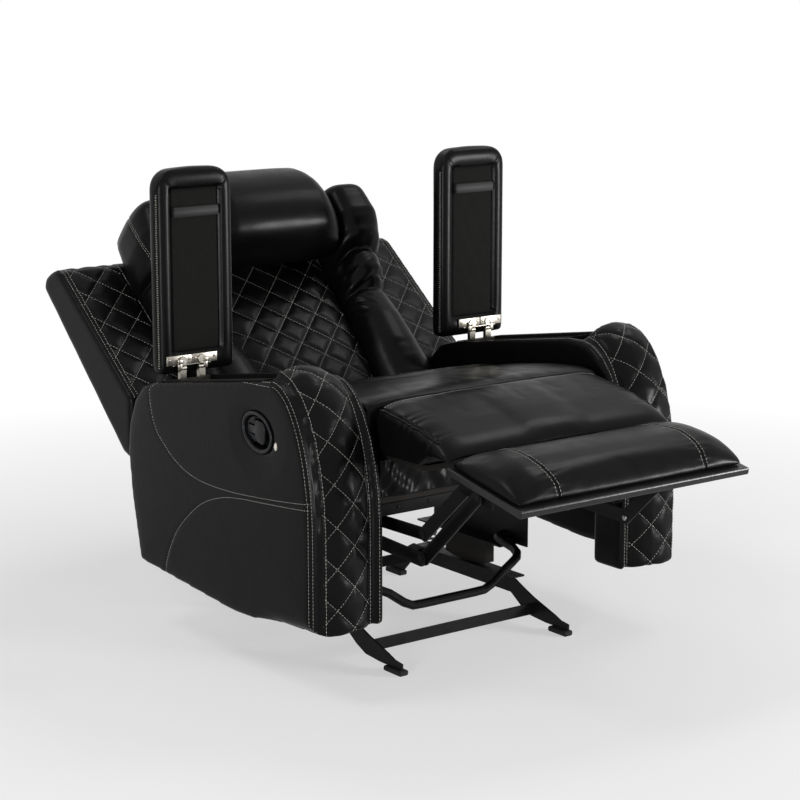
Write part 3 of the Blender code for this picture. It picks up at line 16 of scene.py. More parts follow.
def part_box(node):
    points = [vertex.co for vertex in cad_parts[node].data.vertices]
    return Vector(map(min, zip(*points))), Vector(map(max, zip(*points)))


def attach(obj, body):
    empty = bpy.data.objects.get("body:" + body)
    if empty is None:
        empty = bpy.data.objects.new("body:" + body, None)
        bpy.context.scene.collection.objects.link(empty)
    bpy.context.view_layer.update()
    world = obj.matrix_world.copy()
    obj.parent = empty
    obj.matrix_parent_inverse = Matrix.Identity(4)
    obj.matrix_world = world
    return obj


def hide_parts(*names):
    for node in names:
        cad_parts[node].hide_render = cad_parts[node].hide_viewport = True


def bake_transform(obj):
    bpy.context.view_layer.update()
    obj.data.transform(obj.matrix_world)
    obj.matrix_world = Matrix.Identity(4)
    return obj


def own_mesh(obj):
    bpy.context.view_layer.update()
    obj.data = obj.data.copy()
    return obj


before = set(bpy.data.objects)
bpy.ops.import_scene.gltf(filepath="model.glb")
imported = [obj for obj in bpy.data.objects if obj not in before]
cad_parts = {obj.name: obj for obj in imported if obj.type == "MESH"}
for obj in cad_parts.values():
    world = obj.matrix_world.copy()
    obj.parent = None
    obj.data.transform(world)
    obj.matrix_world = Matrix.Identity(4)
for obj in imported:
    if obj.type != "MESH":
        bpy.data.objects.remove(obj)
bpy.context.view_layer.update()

bl_info = {
    "name": "Rocker recliner looks",
    "version": (1, 0, 0),
    "blender": (4, 5, 0),
    "location": "3D View > Sidebar > Recliner",
    "description": "Covers a packed recliner frame in leather, stitching, lining and steel finishes",
    "category": "Object",
}

MM = 0.001
SIDES = (("right", -1), ("left", 1))
ARM_FRONT_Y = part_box("arm_outer_panel_left")[0].y
ARM_OUTER_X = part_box("arm_outer_panel_left")[1].x

# The arm's front line in the side view: straight up, then a quarter oval over to the top
ARM_FOOT_Z = 0.146
ARM_ARC_DEPTH = 0.150
ARM_ARC_HEIGHT = 0.310
ARM_TOP_Z = 0.660
HUMP_END_Y = 0.158
ARM_SHOULDER = (0.610, 0.572)
ARM_FALL = (ARM_TOP_Z - ARM_SHOULDER[1]) / (ARM_SHOULDER[0] - ARM_ARC_DEPTH)
LID_HINGE_Y = 0.593
ARM_REAR_Y = 0.727
ARM_REAR_MAX_Z = 0.400
ARM_REAR_KNEE = (0.715, 0.300)
ARM_REAR_FOOT = (0.683, 0.158)
ARM_LOW = (0.300, 0.129)

# The back's face line as reclined
BACK_ANGLE = math.radians(37.7)
BACK_TOP = (1.065, 0.764)
BACK_ALONG = Vector((0.0, math.cos(BACK_ANGLE), math.sin(BACK_ANGLE)))
BACK_OUT = Vector((0.0, -math.sin(BACK_ANGLE), math.cos(BACK_ANGLE)))

# The footrest's board line as raised
FOOT_TILT = math.radians(11.0)
FOOT_PIVOT = (-0.235, 0.452)
FOOT_ALONG = Vector((0.0, -math.cos(FOOT_TILT), -math.sin(FOOT_TILT)))
FOOT_UP = Vector((0.0, -math.sin(FOOT_TILT), math.cos(FOOT_TILT)))

LOOKS = {}


def linear(code):
    """An sRGB hex colour as linear red, green and blue."""
    shares = [int(code[place:place + 2], 16) / 255 for place in (1, 3, 5)]
    return [s / 12.92 if s <= 0.04045 else ((s + 0.055) / 1.055) ** 2.4 for s in shares]


class ReclinerSizes(bpy.types.PropertyGroup):
    """Sizes of the sewing and the padding."""

    quilt_pitch: bpy.props.FloatProperty(
        name="Quilt pitch", description="Distance between diamond stitch lines", default=0.0853, unit="LENGTH")
    quilt_height: bpy.props.FloatProperty(
        name="Quilt height", description="How far each diamond stands above its stitches", default=0.0034,
        unit="LENGTH")
    stitch_length: bpy.props.FloatProperty(
        name="Stitch length", description="Length of one stitch that shows", default=0.0052, unit="LENGTH")
    stitch_gap: bpy.props.FloatProperty(
        name="Stitch gap", description="Distance between two stitches", default=0.0022, unit="LENGTH")
    thread_width: bpy.props.FloatProperty(
        name="Thread width", description="Width of the sewing thread", default=0.0009, unit="LENGTH")
    seam_depth: bpy.props.FloatProperty(
        name="Seam depth", description="How far a seam is drawn into the padding", default=0.0032, unit="LENGTH")
    grain: bpy.props.FloatProperty(
        name="Leather grain", description="Width of one pebble of the grain", default=0.0018, unit="LENGTH")


class ReclinerColours(bpy.types.PropertyGroup):
    """Colours of the finishes."""

    leather: bpy.props.FloatVectorProperty(
        name="Leather", description="Black of the bonded leather", subtype="COLOR", size=3,
        default=linear("#090909"))
    thread: bpy.props.FloatVectorProperty(
        name="Thread", description="Pale grey of the contrast stitching", subtype="COLOR", size=3,
        default=linear("#b1afa8"))
    lining: bpy.props.FloatVectorProperty(
        name="Lining", description="Black of the non-woven lining", subtype="COLOR", size=3,
        default=linear("#141413"))
    steel_paint: bpy.props.FloatVectorProperty(
        name="Steel paint", description="Black of the painted mechanism", subtype="COLOR", size=3,
        default=linear("#060607"))


def sizes():
    """The sizes that a user can change."""
    return bpy.context.scene.recliner_sizes


def colours():
    """The colours that a user can change."""
    return bpy.context.scene.recliner_colours


def at(y, z, x=0.0):
    """A place from its side view."""
    return Vector((x, ARM_FRONT_Y + y, z))


def on_back(down, out, x=0.0):
    """A place on the back: down from its top edge, out of its face."""
    return at(*BACK_TOP, x) - down * BACK_ALONG + out * BACK_OUT


def on_foot(along, up, x=0.0):
    """A place on the footrest, from its bracket pivot."""
    return at(*FOOT_PIVOT, x) + along * FOOT_ALONG + up * FOOT_UP


# Materials


def add_node(tree, kind, inputs=None, **settings):
    """Add a node, set it up, and set or link its inputs."""
    made = tree.nodes.new(kind)
    for name, value in settings.items():
        setattr(made, name, value)
    for name, value in (inputs or {}).items():
        if isinstance(value, bpy.types.NodeSocket):
            tree.links.new(value, made.inputs[name])
        else:
            made.inputs[name].default_value = value
    return made


def pattern(tree, place, size=1.0, kind="Noise", span=None, within=(0.3, 0.7), stretch=None, **values):
    """A pattern with features about size millimetres wide, its values within a range spread over a span."""
    if kind == "Edges":
        share = add_node(tree, "ShaderNodeNewGeometry").outputs["Pointiness"]
    else:
        if stretch:
            place = add_node(tree, "ShaderNodeMapping", {"Vector": place, "Scale": stretch}).outputs["Vector"]
        if kind == "Noise":
            values.setdefault("Detail", 3.0)
        settings = {name: values.pop(name) for name in ("feature", "bands_direction") if name in values}
        # A wave pattern repeats 20 times in the length that its scale gives
        scale = 1 / (size * MM) / (20 if kind == "Wave" else 1)
        made = add_node(tree, f"ShaderNodeTex{kind}", {"Vector": place, "Scale": scale, **values}, **settings)
        share = made.outputs["Distance" if kind == "Voronoi" else "Fac"]
    if span is None:
        return share
    return add_node(tree, "ShaderNodeMapRange", {"Value": share, "From Min": within[0], "From Max": within[1],
                                                 "To Min": span[0], "To Max": span[1]}).outputs["Result"]


def make_look(name, tones, cloud, gloss=None, layers=(), **shader):
    """A new material: cloud mixes its two tones, gloss spreads its roughness, and layers raise its surface.

    A layer is a pattern, its depth in millimetres and its strength.
    """
    LOOKS[name] = made = bpy.data.materials.new(name)
    made.use_nodes = True
    tree = made.node_tree
    principled = tree.nodes["Principled BSDF"]
    for key, value in shader.items():
        principled.inputs[key.replace("_", " ")].default_value = value
    place = add_node(tree, "ShaderNodeTexCoord").outputs["Object"]
    first, second = (linear(tone) if isinstance(tone, str) else tone for tone in tones)
    # A Mix node has sockets of the same names for each kind of data; its colours are 6 and 7, and 2 comes out
    mixed = add_node(tree, "ShaderNodeMix", {0: pattern(tree, place, **cloud), 6: (*first, 1.0),
                                             7: (*second, 1.0)}, data_type="RGBA")
    tree.links.new(mixed.outputs[2], principled.inputs["Base Color"])
    if gloss:
        tree.links.new(pattern(tree, place, **gloss), principled.inputs["Roughness"])
    below = {}
    for height, depth, strength in layers:
        raised = add_node(tree, "ShaderNodeBump", {"Height": pattern(tree, place, **height),
                                                   "Distance": depth * MM, "Strength": strength, **below})
        below = {"Normal": raised.outputs["Normal"]}
    tree.links.new(below["Normal"], principled.inputs["Normal"])


def shades(colour, low, high):
    """A colour made darker and lighter."""
    return [[min(1.0, value * share) for value in colour] for share in (low, high)]


def make_finishes():
    """Every finish, from what the real one is. Pattern sizes are real millimetres."""
    chosen = colours()
    # Bonded leather: PU film embossed with pebble grain, so a soft broad gloss breaks up in the grain.
    # The real grain is about 1 mm and would not show, so it is drawn nearer 2 mm.
    pebbles = dict(size=sizes().grain / MM, kind="Voronoi", feature="SMOOTH_F1")
    make_look("bonded_leather", shades(chosen.leather, 0.75, 1.3), dict(size=60, Detail=4.0),
              dict(size=35, Detail=5.0, span=(0.30, 0.40)),
              [(dict(size=9, Detail=4.0), 0.9, 0.30), (pebbles, 0.25, 0.35)],
              Roughness=0.36, IOR=1.5, Specular_IOR_Level=0.042, Coat_Weight=0.07, Coat_Roughness=0.24)
    # Polyester sewing thread: twisted and matt, a little uneven in colour
    make_look("polyester_thread", shades(chosen.thread, 0.8, 1.0), dict(size=6), None,
              [(dict(size=1.2, kind="Wave", Distortion=2.0), 0.2, 0.3)], Roughness=0.6)
    # Spun-bonded polypropylene lining: matt, with fine crossing fibres and soft creases
    fibre = dict(size=1.6, Detail=6.0, Roughness=0.7)
    make_look("non_woven_lining", shades(chosen.lining, 0.7, 1.5), dict(span=(0.0, 1.0), **fibre), None,
              [(dict(size=28), 3.0, 0.5), (fibre, 0.4, 0.5)], Roughness=0.92, Specular_IOR_Level=0.1)
    # Woven polypropylene webbing: fine ribs along the strap, a dull sheen
    ribs = dict(size=2.0, kind="Wave", Distortion=0.6, bands_direction="Z")
    make_look("woven_webbing", ("#161616", "#262626"), ribs, None, [(ribs, 0.3, 0.4)],
              Roughness=0.62, Specular_IOR_Level=0.3)
    # Pressed steel under satin powder paint: faint orange peel, rubbed brighter on sharp edges
    make_look("powder_painted_steel", (chosen.steel_paint, "#29292a"),
              dict(kind="Edges", span=(0.0, 0.35), within=(0.53, 0.60)), dict(size=20, span=(0.34, 0.5)),
              [(dict(size=1.5), 0.15, 0.25)], Roughness=0.42, IOR=1.5, Specular_IOR_Level=0.08)
    # Nickel-plated pressed steel: bright, slightly warm, with rolling marks along its length
    marks = dict(size=0.8, Detail=4.0, stretch=(1.0, 1.0, 0.06))
    make_look("nickel_plated_steel", ("#86827a", "#b3aea4"), dict(size=12), dict(span=(0.28, 0.46), **marks),
              [(marks, 0.08, 0.3)], Metallic=1.0, Roughness=0.27)
    # Moulded rubber: matt charcoal with a dusty bloom and a fine mould grain
    make_look("moulded_rubber", ("#131313", "#242423"), dict(size=14, Detail=5.0), None,
              [(dict(size=1.2), 0.2, 0.4)], Roughness=0.8, Specular_IOR_Level=0.2)
    # Moulded ABS: spark-textured black, semi-gloss where fingers polish it
    make_look("moulded_abs", ("#0d0e10", "#17181a"), dict(size=18), dict(size=10, Detail=5.0, span=(0.24, 0.42)),
              [(dict(size=0.9), 0.1, 0.3)], Roughness=0.33, IOR=1.54, Specular_IOR_Level=0.14)
    # Sawn pine under black stain: matt, with its growth rings and saw marks faintly showing
    rings = dict(size=7, kind="Wave", stretch=(0.08, 1.0, 1.0), Distortion=4.0, Detail=3.0, bands_direction="Z")
    make_look("black_stained_pine", ("#161513", "#22201d"), rings, None, [(rings, 0.3, 0.3)],
              Roughness=0.75, Specular_IOR_Level=0.15)
    # Moulded nylon: milky off-white with a waxy gloss
    make_look("moulded_nylon", ("#b9b5ab", "#d3cfc5"), dict(size=5), None, [(dict(size=1.0), 0.1, 0.3)],
              Roughness=0.45, IOR=1.53)
    # Board wrapped in thin leatherette, stretched tight so the grain is shallow and the gloss sharper
    make_look("leatherette_wrap", ("#151516", "#242425"), dict(size=30), None,
              [(dict(size=22), 1.2, 0.4), (dict(size=1.5, kind="Voronoi", feature="SMOOTH_F1"), 0.12, 0.3)],
              Roughness=0.3, IOR=1.5, Specular_IOR_Level=0.2)
    # Oiled spring steel: dark grey metal with a soft sheen
    make_look("oiled_spring_steel", ("#55565a", "#7d7e82"), dict(size=8, Detail=5.0), None,
              [(dict(size=1.0), 0.1, 0.3)], Metallic=1.0, Roughness=0.35)
    # Zinc-plated rivet steel: bright blue-grey with a soft frosted gloss
    make_look("zinc_plated_rivet", ("#8f9296", "#b7babd"), dict(size=3), None, [(dict(size=0.8), 0.1, 0.3)],
              Metallic=1.0, Roughness=0.36)


# Mesh work


def piece_of(name, points, faces, finish, smooth=True):
    """A new piece from points and faces."""
    mesh = bpy.data.meshes.new(name)
    mesh.from_pydata([tuple(p) for p in points], [], faces)
    return piece_from(name, mesh, finish, smooth)


def piece_of_data(name, data, finish, smooth=True):
    """A new piece from a bmesh, which is then given up."""
    mesh = bpy.data.meshes.new(name)
    data.to_mesh(mesh)
    data.free()
    return piece_from(name, mesh, finish, smooth)


def piece_from(name, mesh, finish, smooth=True):
    """A new piece from a mesh."""
    made = bpy.data.objects.new(name, mesh)
    bpy.context.scene.collection.objects.link(made)
    dress(made, finish)
    mesh.polygons.foreach_set("use_smooth", np.full(len(mesh.polygons), smooth))
    mesh.update()
    return made


def dress(made, finish):
    """Give a piece one finish."""
    made.data.materials.clear()
    made.data.materials.append(LOOKS[finish])


def settle(made):
    """Apply every modifier of a piece, which keeps its finish."""
    finish = made.data.materials[0].name
    bpy.context.view_layer.update()
    graph = bpy.context.evaluated_depsgraph_get()
    mesh = bpy.data.meshes.new_from_object(made.evaluated_get(graph))
    old = made.data
    made.modifiers.clear()
    made.data = mesh
    bpy.data.meshes.remove(old)
    mesh.polygons.foreach_set("use_smooth", np.full(len(mesh.polygons), True))
    dress(made, finish)
    mesh.update()


def modify(made, kind, **settings):
    """Put a modifier on a piece and apply it."""
    step = made.modifiers.new(kind.lower(), kind)
    for name, value in settings.items():
        setattr(step, name, value)
    settle(made)


def points_of(made):
    """The points of a piece, as rows."""
    flat = np.empty(len(made.data.vertices) * 3)
    made.data.vertices.foreach_get("co", flat)
    return flat.reshape(-1, 3)


def normals_of(made):
    """The outward directions at a piece's points."""
    flat = np.empty(len(made.data.vertices) * 3)
    made.data.vertices.foreach_get("normal", flat)
    return flat.reshape(-1, 3)


def raise_points(made, heights):
    """Move each point of a piece along its outward direction."""
    put_points(made, points_of(made) + normals_of(made) * heights[:, None])


def edges_of(made):
    """The edges of a piece, as pairs of point numbers."""
    flat = np.empty(len(made.data.edges) * 2, dtype=np.int64)
    made.data.edges.foreach_get("vertices", flat)
    return flat.reshape(-1, 2)


def put_points(made, points):
    """Move the points of a piece."""
    made.data.vertices.foreach_set("co", points.ravel())
    made.data.update()


def relax(made, rounds):
    """Even out the skin of a piece."""
    points = points_of(made)
    edges = edges_of(made)
    count = np.maximum(np.bincount(edges.ravel(), minlength=len(points)), 1)[:, None]
    for _ in range(rounds):
        total = np.stack([np.bincount(edges[:, 0], points[edges[:, 1], k], len(points))
                          + np.bincount(edges[:, 1], points[edges[:, 0], k], len(points)) for k in range(3)], 1)
        points = points + (total / count - points) * 0.5
    put_points(made, points)


def keep_largest(made):
    """Drop every loose scrap but the main skin."""
    edges = edges_of(made)
    label = np.arange(len(made.data.vertices))
    while True:
        low = np.minimum(label[edges[:, 0]], label[edges[:, 1]])
        fresh = label.copy()
        np.minimum.at(fresh, edges[:, 0], low)
        np.minimum.at(fresh, edges[:, 1], low)
        fresh = fresh[fresh]
        if np.array_equal(fresh, label):
            break
        label = fresh
    main = np.bincount(label).argmax()
    if (label != main).any():
        data = bmesh.new()
        data.from_mesh(made.data)
        data.verts.ensure_lookup_table()
        bmesh.ops.delete(data, geom=[data.verts[i] for i in np.flatnonzero(label != main)], context="VERTS")
        data.to_mesh(made.data)
        data.free()
        made.data.update()


def skin_over(name, nodes, voxel):
    """One even skin of leather over CAD solids."""
    data = bmesh.new()
    for node in nodes:
        data.from_mesh(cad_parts[node].data)
    bmesh.ops.remove_doubles(data, verts=data.verts, dist=0.01 * MM)
    made = piece_of_data(name, data, "bonded_leather")
    modify(made, "REMESH", mode="VOXEL", voxel_size=voxel)
    keep_largest(made)
    return made


def refine(made):
    """Split each face in four, smoothly."""
    modify(made, "SUBSURF", levels=1, render_levels=1)


def inflate(made, pressure, cap, hold=None, slack=0.0, frames=20, calm=12):
    """Fill a piece by cloth simulation, and cap how far each point may move.

    hold is the pinned share of each point, slack how much wider the cloth is than its pattern, and calm
    the rounds of evening out afterwards.
    """
    rest = points_of(made)
    cloth = made.modifiers.new("filling", "CLOTH")
    cloth.settings.use_pressure = True
    cloth.settings.uniform_pressure_force = pressure
    cloth.settings.effector_weights.gravity = 0.0
    cloth.settings.quality = 4
    cloth.settings.mass = 0.3
    cloth.settings.shrink_min = -slack
    cloth.settings.tension_stiffness = 25.0
    cloth.settings.compression_stiffness = 25.0
    cloth.settings.bending_stiffness = 1.5
    if hold is not None:
        group = made.vertex_groups.new(name="seams")
        for share in (0.25, 0.5, 0.75, 1.0):
            chosen = np.flatnonzero((hold > share - 0.25) & (hold <= share))
            group.add([int(i) for i in chosen], share, "REPLACE")
        cloth.settings.vertex_group_mass = "seams"
    cloth.point_cache.frame_start = 1
    cloth.point_cache.frame_end = frames
    for step in range(1, frames + 1):
        bpy.context.scene.frame_set(step)
    settle(made)
    made.vertex_groups.clear()
    bpy.context.scene.frame_set(1)
    move = points_of(made) - rest
    far = np.linalg.norm(move, axis=1)
    keep = cap * np.tanh(far / cap) / np.maximum(far, 1e-9)
    put_points(made, rest + move * keep[:, None])
    relax(made, calm)


def surface_tree(made):
    """A search tree of a piece's faces."""
    bpy.context.view_layer.update()
    return BVHTree.FromObject(made, bpy.context.evaluated_depsgraph_get())


def lay(tree, guide, aims, reach=0.06, jump=0.02):
    """Drop a guide line on to a surface, and split it wherever it leaps.

    aims is one direction, or one for each point. A run is a row of (place, outward direction).
    """
    runs = [[]]
    for index, point in enumerate(guide):
        aim = aims if isinstance(aims, Vector) else aims[index]
        hit, normal, _, _ = tree.ray_cast(Vector(point) - aim * reach, aim, 2 * reach)
        if hit is None:
            continue
        if runs[-1] and (hit - runs[-1][-1][0]).length > jump:
            runs.append([])
        runs[-1].append((hit, normal if normal.dot(aim) < 0 else -normal))
    return [run for run in runs if len(run) > 1]


def seam_distance(made, lines, reach):
    """Each point's distance from the nearest of the laid lines, and how far along that line it is."""
    samples = []
    for line in lines:
        travelled = 0.0
        for (a, _), (b, _) in zip(line, line[1:]):
            length = (b - a).length
            steps = max(1, int(length / (1.5 * MM)))
            for step in range(steps):
                samples.append((a.lerp(b, step / steps), travelled + length * step / steps))
            travelled += length
    tree = KDTree(len(samples))
    for index, (place, _) in enumerate(samples):
        tree.insert(place, index)
    tree.balance()
    points = points_of(made)
    distance = np.full(len(points), 1.0)
    along = np.zeros(len(points))
    low = np.min([list(s[0]) for s in samples], axis=0) - reach
    high = np.max([list(s[0]) for s in samples], axis=0) + reach
    near = np.flatnonzero(((points > low) & (points < high)).all(axis=1))
    for index in near:
        _, found, far = tree.find(points[index])
        distance[index] = far
        along[index] = samples[found][1]
    return distance, along


def press_seams(made, lines, depth, width, gather=0.0, spacing=0.022, reach=0.03):
    """Draw a piece in along laid lines, with gathers of the cover beside them."""
    if not lines:
        return
    distance, along = seam_distance(made, lines, 3 * reach)
    move = -depth * np.exp(-(distance / width) ** 2)
    if gather:
        wave = np.sin(2 * np.pi * along / spacing + 2.3 * np.sin(along / spacing * 1.7))
        wave = wave + 0.5 * np.sin(2 * np.pi * along / spacing * 0.43 + 1.0)
        move = move + gather * wave * np.exp(-distance / reach) * (1 - np.exp(-(distance / width) ** 2))
    raise_points(made, move)


def grid_faces(rows, columns, closed=False, base=0):
    """Faces between rows of points, each row joined end to end where closed."""
    faces = []
    for row in range(base, base + (rows - 1) * columns, columns):
        for step in range(columns if closed else columns - 1):
            a, b = row + step, row + (step + 1) % columns
            faces.append((a, b, b + columns, a + columns))
    return faces


def tube_faces(rows, around, base=0):
    """Faces of a tube of closed rows, with its two ends."""
    last = base + (rows - 1) * around
    return grid_faces(rows, around, True, base) + [tuple(range(base + around - 1, base - 1, -1)),
                                                   tuple(range(last, last + around))]


def sew(name, runs, body, length=None, gap=None, width=None):
    """Stitches along laid lines: each a short rounded bar that stands a little proud."""
    length = length or sizes().stitch_length
    gap = gap or sizes().stitch_gap
    radius = (width or sizes().thread_width) / 2
    turn = np.linspace(0, 2 * math.pi, 5, endpoint=False)[:, None]
    points, faces = [], []
    for run in runs:
        rows = np.array([[*place, *normal] for place, normal in run])
        travelled = np.concatenate([[0.0], np.cumsum(np.linalg.norm(np.diff(rows[:, :3], axis=0), axis=1))])
        for stitch in range(int((travelled[-1] + gap) / (length + gap))):
            stops = stitch * (length + gap) + np.array([0.0, 0.2, 0.8, 1.0]) * length
            found = np.stack([np.interp(stops, travelled, rows[:, k]) for k in range(6)], 1)
            out = found[1, 3:] / np.linalg.norm(found[1, 3:])
            way = found[3, :3] - found[0, :3]
            size = np.linalg.norm(way)
            if size < 0.2 * length:
                continue
            ring = radius * (np.cos(turn) * np.cross(out, way / size) + np.sin(turn) * out)
            faces += tube_faces(4, 5, len(points))
            for place, share, lift in zip(found[:, :3], (0.45, 1.0, 1.0, 0.45), (-0.3, 0.35, 0.35, -0.3)):
                points += list(place + out * radius * lift + ring * share)
    made = piece_of(name, points, faces, "polyester_thread")
    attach(made, body)


def dense(points, step=0.003):
    """Points every few millimetres along a row of places."""
    out = [Vector(points[0])]
    for a, b in zip(points, points[1:]):
        a = Vector(a)
        b = Vector(b)
        steps = max(1, math.ceil((b - a).length / step))
        out += [a.lerp(b, k / steps) for k in range(1, steps + 1)]
    return out


def rounded(points, count):
    """Points on a smooth curve through a row of places."""
    knots = [Vector(points[0])] + [Vector(p) for p in points] + [Vector(points[-1])]
    spans = len(points) - 1
    out = []
    for index in range(count):
        place = spans * index / (count - 1)
        span = min(int(place), spans - 1)
        t = place - span
        a, b, c, d = knots[span:span + 4]
        out.append(0.5 * ((2 * b) + (c - a) * t + (2 * a - 5 * b + 4 * c - d) * t ** 2
                          + (3 * b - a - 3 * c + d) * t ** 3))
    return out


def diamond(u, v):
    """Distance from the nearest line of a diamond lattice with lines at whole u + v and u - v."""
    first = np.abs(u + v - np.round(u + v))
    second = np.abs(u - v - np.round(u - v))
    return np.minimum(first, second)


def puff(u, v, pitch, height):
    """Height of diamond quilting: sharp valleys on the lattice, round between them."""
    gap = diamond(u, v) * pitch / math.sqrt(2)
    return height * (1 - np.exp(-(gap / (8 * MM)) ** 1.2)) - height * 0.75


def lattice_lines(u_range, v_range, to_place, step=0.05):
    """Both families of lattice lines inside a range of u and v, as rows of places."""
    lines = []
    u_low, u_high = u_range
    v_low, v_high = v_range
    for way in (1, -1):
        ends = [way * u + v for u in u_range for v in v_range]
        for number in range(math.ceil(min(ends)), math.floor(max(ends)) + 1):
            count = int((u_high - u_low) / step) + 1
            row = []
            for index in range(count + 1):
                u = u_low + (u_high - u_low) * index / count
                v = number - way * u
                if v_low <= v <= v_high:
                    row.append(to_place(u, v))
            if len(row) > 1:
                lines.append(row)
    return lines


# Side-view outline of the arms


def front_line():
    """The arm's front and top in the side view, foot first, every few millimetres."""
    centre_z = ARM_TOP_Z - ARM_ARC_HEIGHT
    line = [(0.0, ARM_FOOT_Z), (0.0, centre_z)]
    for step in range(1, 31):
        angle = math.pi - math.pi / 2 * step / 30
        line.append((ARM_ARC_DEPTH + ARM_ARC_DEPTH * math.cos(angle),
                     centre_z + ARM_ARC_HEIGHT * math.sin(angle)))
    line.append((HUMP_END_Y, ARM_TOP_Z))
    return line


class SideLine:
    """A line in the side view, with places and outward directions along it."""

    def __init__(self, line):
        self.points = np.array([[p.y, p.z] for p in dense([(0.0, y, z) for y, z in line])])
        steps = np.linalg.norm(np.diff(self.points, axis=0), axis=1)
        self.run = np.concatenate([[0.0], np.cumsum(steps)])
        self.length = self.run[-1]

    def place(self, run, reach=0.004):
        """(y, z) at a distance from the line's start, and its outward direction there."""
        y, z = (np.interp(run, self.run, self.points[:, k]) for k in (0, 1))
        ahead, up = (np.interp(run + reach, self.run, self.points[:, k])
                     - np.interp(run - reach, self.run, self.points[:, k]) for k in (0, 1))
        size = math.hypot(ahead, up)
        return y, z, (-up / size, ahead / size)

    def nearest(self, points):
        """Each point's distance along the line from its start, and its distance from the line."""
        side = points[:, 1:3] - np.array([ARM_FRONT_Y, 0.0])
        best = np.full(len(points), 9.0)
        run = np.zeros(len(points))
        for place, travelled in zip(self.points, self.run):
            far = np.hypot(side[:, 0] - place[0], side[:, 1] - place[1])
            closer = far < best
            best[closer] = far[closer]
            run[closer] = travelled
        return run, best

    def guide(self, x, start=0.004, end=None, inset=0.0):
        """A guide line at one distance from the middle plane, with its aims into the surface."""
        end = self.length - 0.004 if end is None else end
        count = max(2, int(abs(end - start) / 0.004))
        guide = []
        aims = []
        for index in range(count + 1):
            y, z, out = self.place(start + (end - start) * index / count)
            guide.append(at(y - out[0] * inset, z - out[1] * inset, x))
            aims.append(Vector((0.0, -out[0], -out[1])))
        return guide, aims

    def lattice(self, u_edges, run_edges, origin, pitch, sign=1):
        """Diamond lines on the line's surface: guides and aims between two distances across and along."""
        u_range = [(x - origin[0]) / pitch for x in u_edges]
        v_range = [(run - origin[1]) / pitch for run in run_edges]
        made = []
        for line in lattice_lines(u_range, v_range, lambda u, v: (u, v)):
            guide = []
            aims = []
            for u, v in line:
                y, z, out = self.place(v * pitch + origin[1])
                guide.append(at(y, z, sign * (u * pitch + origin[0])))
                aims.append(Vector((0.0, -out[0], -out[1])))
            made.append((guide, aims))
        return made

    def quilt(self, made, edges, origin, depth, end):
        """Raise the diamonds between two distances from the middle plane, on the skin near the line."""
        points = points_of(made)
        run, far = self.nearest(points)
        across = np.abs(points[:, 0])
        pitch = sizes().quilt_pitch
        height = puff((across - origin[0]) / pitch, (run - origin[1]) / pitch, pitch, sizes().quilt_height)
        edge = np.clip((across - edges[0]) / 0.010, 0, 1) * np.clip((edges[1] - across) / 0.010, 0, 1)
        surface = np.clip((depth[0] - far) / depth[1], 0, 1) * np.clip((self.length - run) / end, 0, 1)
        raise_points(made, height * edge * surface)


FRONT = SideLine(front_line())
HEAD_SHARES = ((-0.18, 0.0), (0.07, -0.10), (0.24, -0.37), (0.37, -0.71), (0.27, -1.0))
WING_THICK = 0.082
WING_FOOT = 0.413


def face_line():
    """The back's face from the wings' foot up and over its head, in the side view."""
    places = [on_back(WING_FOOT, 0.0)] + [on_back(-s * WING_THICK, n * WING_THICK) for s, n in HEAD_SHARES]
    return [(place.y - ARM_FRONT_Y, place.z) for place in places]


FACE = SideLine(face_line())


def arm_outline():
    """The whole arm in the side view, closed, for rounding its edges."""
    line = front_line()
    line.append((LID_HINGE_Y, ARM_TOP_Z - (LID_HINGE_Y - ARM_ARC_DEPTH) * ARM_FALL))
    for step in range(0, 9):
        angle = math.pi / 2 * (1 - step / 8)
        line.append((ARM_SHOULDER[0] + (ARM_REAR_Y - ARM_SHOULDER[0]) * math.cos(angle),
                     ARM_REAR_MAX_Z + (ARM_SHOULDER[1] - ARM_REAR_MAX_Z) * math.sin(angle)))
    return line + [ARM_REAR_KNEE, ARM_REAR_FOOT, ARM_LOW, (0.0, ARM_FOOT_Z)]


OUTLINE = np.array([[p.y, p.z] for p in dense([(0.0, y, z) for y, z in arm_outline()], 0.01)])


def outline_inset(points):
    """Each point's distance inside the arm's outline, and the direction of the nearest edge from it."""
    side = points[:, 1:3] - np.array([ARM_FRONT_Y, 0.0])
    best = np.full(len(points), 9.0)
    way = np.zeros((len(points), 2))
    for a, b in zip(OUTLINE, OUTLINE[1:]):
        run = b - a
        size = float(run @ run)
        if size < 1e-12:
            continue
        share = np.clip(((side - a) @ run) / size, 0, 1)
        gap = a + share[:, None] * run - side
        far = np.hypot(gap[:, 0], gap[:, 1])
        closer = far < best
        best[closer] = far[closer]
        way[closer] = gap[closer] / np.maximum(far[closer], 1e-9)[:, None]
    return best, way


def round_edge(made, sign, radius):
    """Round the arm's outer edge all the way round, from the outline to the side face."""
    points = points_of(made)
    deep = ARM_OUTER_X - sign * points[:, 0]
    inset, way = outline_inset(points)
    a = radius - deep
    b = radius - inset
    inside = (a > 0) & (b > 0)
    longest = np.maximum(a, b)
    keep = np.where(inside, longest / np.maximum(np.hypot(a, b), 1e-9), 1.0)
    points[:, 0] -= sign * np.where(inside, a * (1 - keep), 0.0)
    points[:, 1:3] -= way * np.where(inside, b * (1 - keep), 0.0)[:, None]
    put_points(made, points)


ARM_VOXEL = 4.6 * MM
EDGE_ROUND = 0.034
OUTER_BULGE = 3.0 * MM
# Seams across the arm's front, as distances from the chair's middle plane
BAND_SEAM_X = 0.4775
QUILT_SEAM_X = 0.3560
WRAP_SEAM_X = 0.3400
SIDE_SEAM_INSET = 0.021
